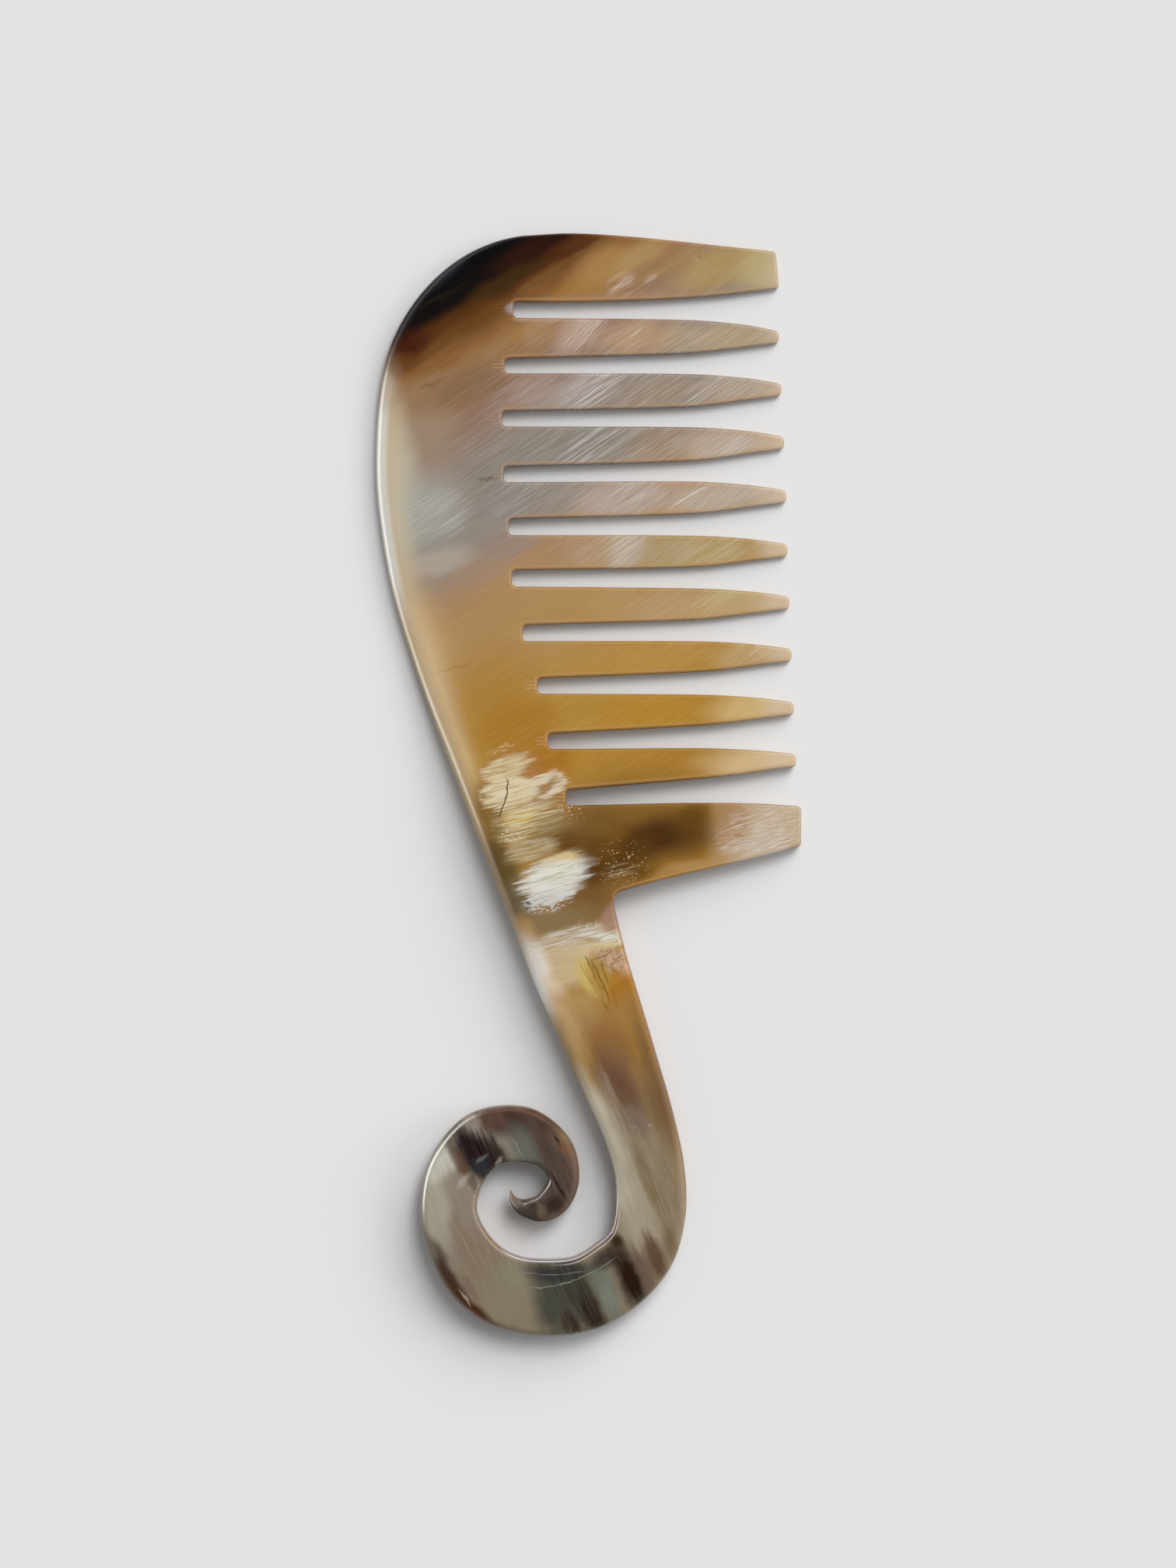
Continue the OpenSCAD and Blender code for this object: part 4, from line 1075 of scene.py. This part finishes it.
# Thin lines
for label, (points, half, code, amount) in STROKES.items():
    for (u0, v0), (u1, v1) in zip(points, points[1:]):
        long = math.hypot(u1 - u0, v1 - v0)
        colour = paint(colour, trim_place, (u0 + u1) / 2, (v0 + v1) / 2, long / 2 + 1.2, half, math.degrees(math.atan2(v0 - v1, u1 - u0)), 0.9, linear(code), amount, None, label)

# Fibres all over, and slow changes along them
height = vcalc("DOT_PRODUCT", P, (0.0, 1.0, 0.0))
to_patch = step(height, 940, 1010)
to_handle = step(height, 1225, 1330)


def by_region(part):
    first = calc("MULTIPLY_ADD", to_patch, calc("SUBTRACT", part["patch"], part["blade"]), part["blade"])
    return calc("MULTIPLY_ADD", to_handle, calc("SUBTRACT", part["handle"], first), first)


all_fine, all_middle = by_region(fine), by_region(middle)
swing = calc("MULTIPLY_ADD", all_fine, FINE_SHARE, calc("MULTIPLY_ADD", all_middle, MIDDLE_SHARE, -(FINE_SHARE + MIDDLE_SHARE) / 2))
vary = calc("MULTIPLY_ADD", swing, calc("MULTIPLY_ADD", to_handle, 1.9, 1.0), 1.01)
tone = tree.nodes.new("ShaderNodeCombineColor")
for s in tone.inputs[:3]:
    put(s, vary)
colour = mix(1.0, colour, tone.outputs[0], "MULTIPLY")

# Edge lines, many of them painted highlights and painted shade; then a painted highlight along the back, which looks
# paler and thinner there, painted shade in the outermost line of every edge, and a painted glow inside the lower flanks
# of the teeth, for light coming through the horn
rim, from_back, from_below = attribute("rim"), attribute("from_back"), attribute("from_below")
for label, (u, v, za, zb, angle, soft, inset, half, code, amount) in EDGES.items():
    band = step(calc("ABSOLUTE", calc("SUBTRACT", rim, inset)), half, 0.0)
    colour = paint(colour, trim_place, u, v, za, zb, angle, soft, linear(code), amount, band, label)
# painted highlight: pale bands near the back's rounded edge
on_back = calc("MULTIPLY", step(height, 490, 560), step(height, 1080, 900))
colour = mix(calc("MULTIPLY", on_back, step(from_back, 6.0, 0.8, 0.0, 0.7)), colour, linear("#d2bd9a"))
on_back = calc("MULTIPLY", step(height, 500, 560), step(height, 1300, 1180))
colour = mix(calc("MULTIPLY", on_back, step(from_back, 1.5, 0.4, 0.0, 0.55)), colour, linear("#c9b08a"))
# painted highlight: the white line on the back's rounded edge
on_back = calc("MULTIPLY", step(height, 490, 550), step(height, 820, 720))
colour = mix(calc("MULTIPLY", on_back, step(from_back, 2.3, 1.0, 0.0, 0.75)), colour, linear("#f1efe9"))
# painted light: a glow inside the lower flanks of the teeth, for light coming through the horn
glow = calc("MULTIPLY", step(from_below, 0.95, 0.5), step(from_below, 0.25, 0.5))
colour = mix(calc("MULTIPLY", glow, 0.35), colour, linear("#c79c6a"))
# painted shade: the outermost line of every edge darkened, except under the back's painted highlight
back_highlight_mask = calc("MULTIPLY", calc("MULTIPLY", step(height, 505, 560), step(height, 900, 820)), step(from_back, 1.2, 0.6))
colour = mix(calc("MULTIPLY", step(rim, 0.30, 0.05, 0.0, 0.45), calc("SUBTRACT", 1.0, back_highlight_mask)), colour, linear("#6b4a34"))

put(bsdf.inputs["Base Color"], colour)

# Polish: duller where the horn is open and white
open_horn = step(vcalc("LENGTH", place_of(P, "TEXTURE", (702, 1078, 0), 0.0, (62, 98, 1000))), 1.2, 0.7)
dull = calc("MULTIPLY_ADD", open_horn, 0.16, calc("MULTIPLY_ADD", all_fine, 0.06, calc("MULTIPLY_ADD", all_middle, 0.04, 0.20)))
put(bsdf.inputs["Roughness"], dull)
bsdf.inputs["IOR"].default_value = 1.54
bsdf.inputs["Coat Weight"].default_value = 0.35
bsdf.inputs["Coat Roughness"].default_value = 0.10
bump = tree.nodes.new("ShaderNodeBump")
bump.inputs["Strength"].default_value = 0.03
bump.inputs["Distance"].default_value = 0.00012
put(bump.inputs["Height"], calc("MULTIPLY_ADD", speckle, calc("MULTIPLY", open_horn, 1.6), all_fine))
put(bsdf.inputs["Normal"], bump.outputs[0])
mesh.materials.append(mat)
print("zones:", len(ZONES), "nodes:", len(tree.nodes))

# ---------------------------------------------------------------------------
# Floor and light
# ---------------------------------------------------------------------------

floor_mesh = bpy.data.meshes.new("floor")
floor_mesh.from_pydata([(-15, -15, 0), (15, -15, 0), (15, 15, 0), (-15, 15, 0)], [], [(0, 1, 2, 3)])
floor = bpy.data.objects.new("floor", floor_mesh)
floor_mat = bpy.data.materials.new("floor_paper")
floor_mat.use_nodes = True
fb = floor_mat.node_tree.nodes["Principled BSDF"]
fb.inputs["Base Color"].default_value = (0.80, 0.80, 0.80, 1)
fb.inputs["Roughness"].default_value = 0.95
fb.inputs["Specular IOR Level"].default_value = 0.0
floor_mesh.materials.append(floor_mat)
bpy.context.scene.collection.objects.link(floor)

# Room: dark right above, brighter toward the sides; plain grey where it is seen itself
world = bpy.context.scene.world or bpy.data.worlds.new("world")
bpy.context.scene.world = world
world.use_nodes = True
wt = world.node_tree
back = wt.nodes["Background"]
up = wt.nodes.new("ShaderNodeSeparateXYZ")
wt.links.new(wt.nodes.new("ShaderNodeTexCoord").outputs["Generated"], up.inputs[0])
sky = wt.nodes.new("ShaderNodeMapRange")
sky.interpolation_type = "SMOOTHSTEP"
for s, v in zip(sky.inputs[1:5], (0.55, 0.95, SKY_SIDE, SKY_TOP)):
    s.default_value = v
wt.links.new(up.outputs["Z"], sky.inputs[0])
seen_ray = wt.nodes.new("ShaderNodeLightPath")
either = wt.nodes.new("ShaderNodeMix")
either.inputs[3].default_value = 0.775
wt.links.new(seen_ray.outputs["Is Camera Ray"], either.inputs[0])
wt.links.new(sky.outputs[0], either.inputs[2])
wt.links.new(either.outputs[0], back.inputs["Strength"])
back.inputs["Color"].default_value = (1, 1, 1, 1)


def aimed(name, data, azimuth, elevation, distance, target=(0, 0, 0)):
    o = bpy.data.objects.new(name, data)
    a, e = math.radians(azimuth), math.radians(elevation)
    way = Vector((math.cos(a) * math.cos(e), math.sin(a) * math.cos(e), math.sin(e)))
    o.location = Vector(target) + way * distance
    o.rotation_mode = "QUATERNION"
    o.rotation_quaternion = way.to_track_quat("Z", "Y")
    bpy.context.scene.collection.objects.link(o)
    return o


key = bpy.data.lights.new("key", "SUN")
key.energy = KEY
key.angle = math.radians(KEY_WIDTH)
o = aimed("key", key, KEY_FROM, KEY_UP, 2.0)
o.visible_glossy = False

low = bpy.data.lights.new("low", "SUN")
low.energy = LOW
low.angle = math.radians(40)
o = aimed("low", low, 55, 30, 2.0)
o.visible_glossy = False

side = bpy.data.lights.new("side", "SUN")
side.energy = SIDE
side.angle = math.radians(32)
o = aimed("side", side, 8, 25, 2.0)
o.visible_glossy = False

overhead = bpy.data.lights.new("overhead", "SUN")
overhead.energy = OVERHEAD
overhead.angle = math.radians(50)
o = aimed("overhead", overhead, 90, 88, 2.0)
o.visible_glossy = False

strip = bpy.data.lights.new("edge_strip", "AREA")
strip.shape = "RECTANGLE"
strip.size, strip.size_y = 0.24, 0.20
strip.energy = STRIP
o = aimed("edge_strip", strip, 181, 30, 0.40, (-0.034, 0.040, 0))
o.visible_diffuse = False

window = bpy.data.lights.new("window", "AREA")
window.shape = "RECTANGLE"
window.size, window.size_y = 1.1, 0.40
window.energy = WINDOW
o = aimed("window", window, 138, 34, 1.2)
o.visible_diffuse = False

bpy.context.scene.view_settings.view_transform = "Standard"
bpy.context.scene.view_settings.look = "None"

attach(comb, "root")
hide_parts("comb")
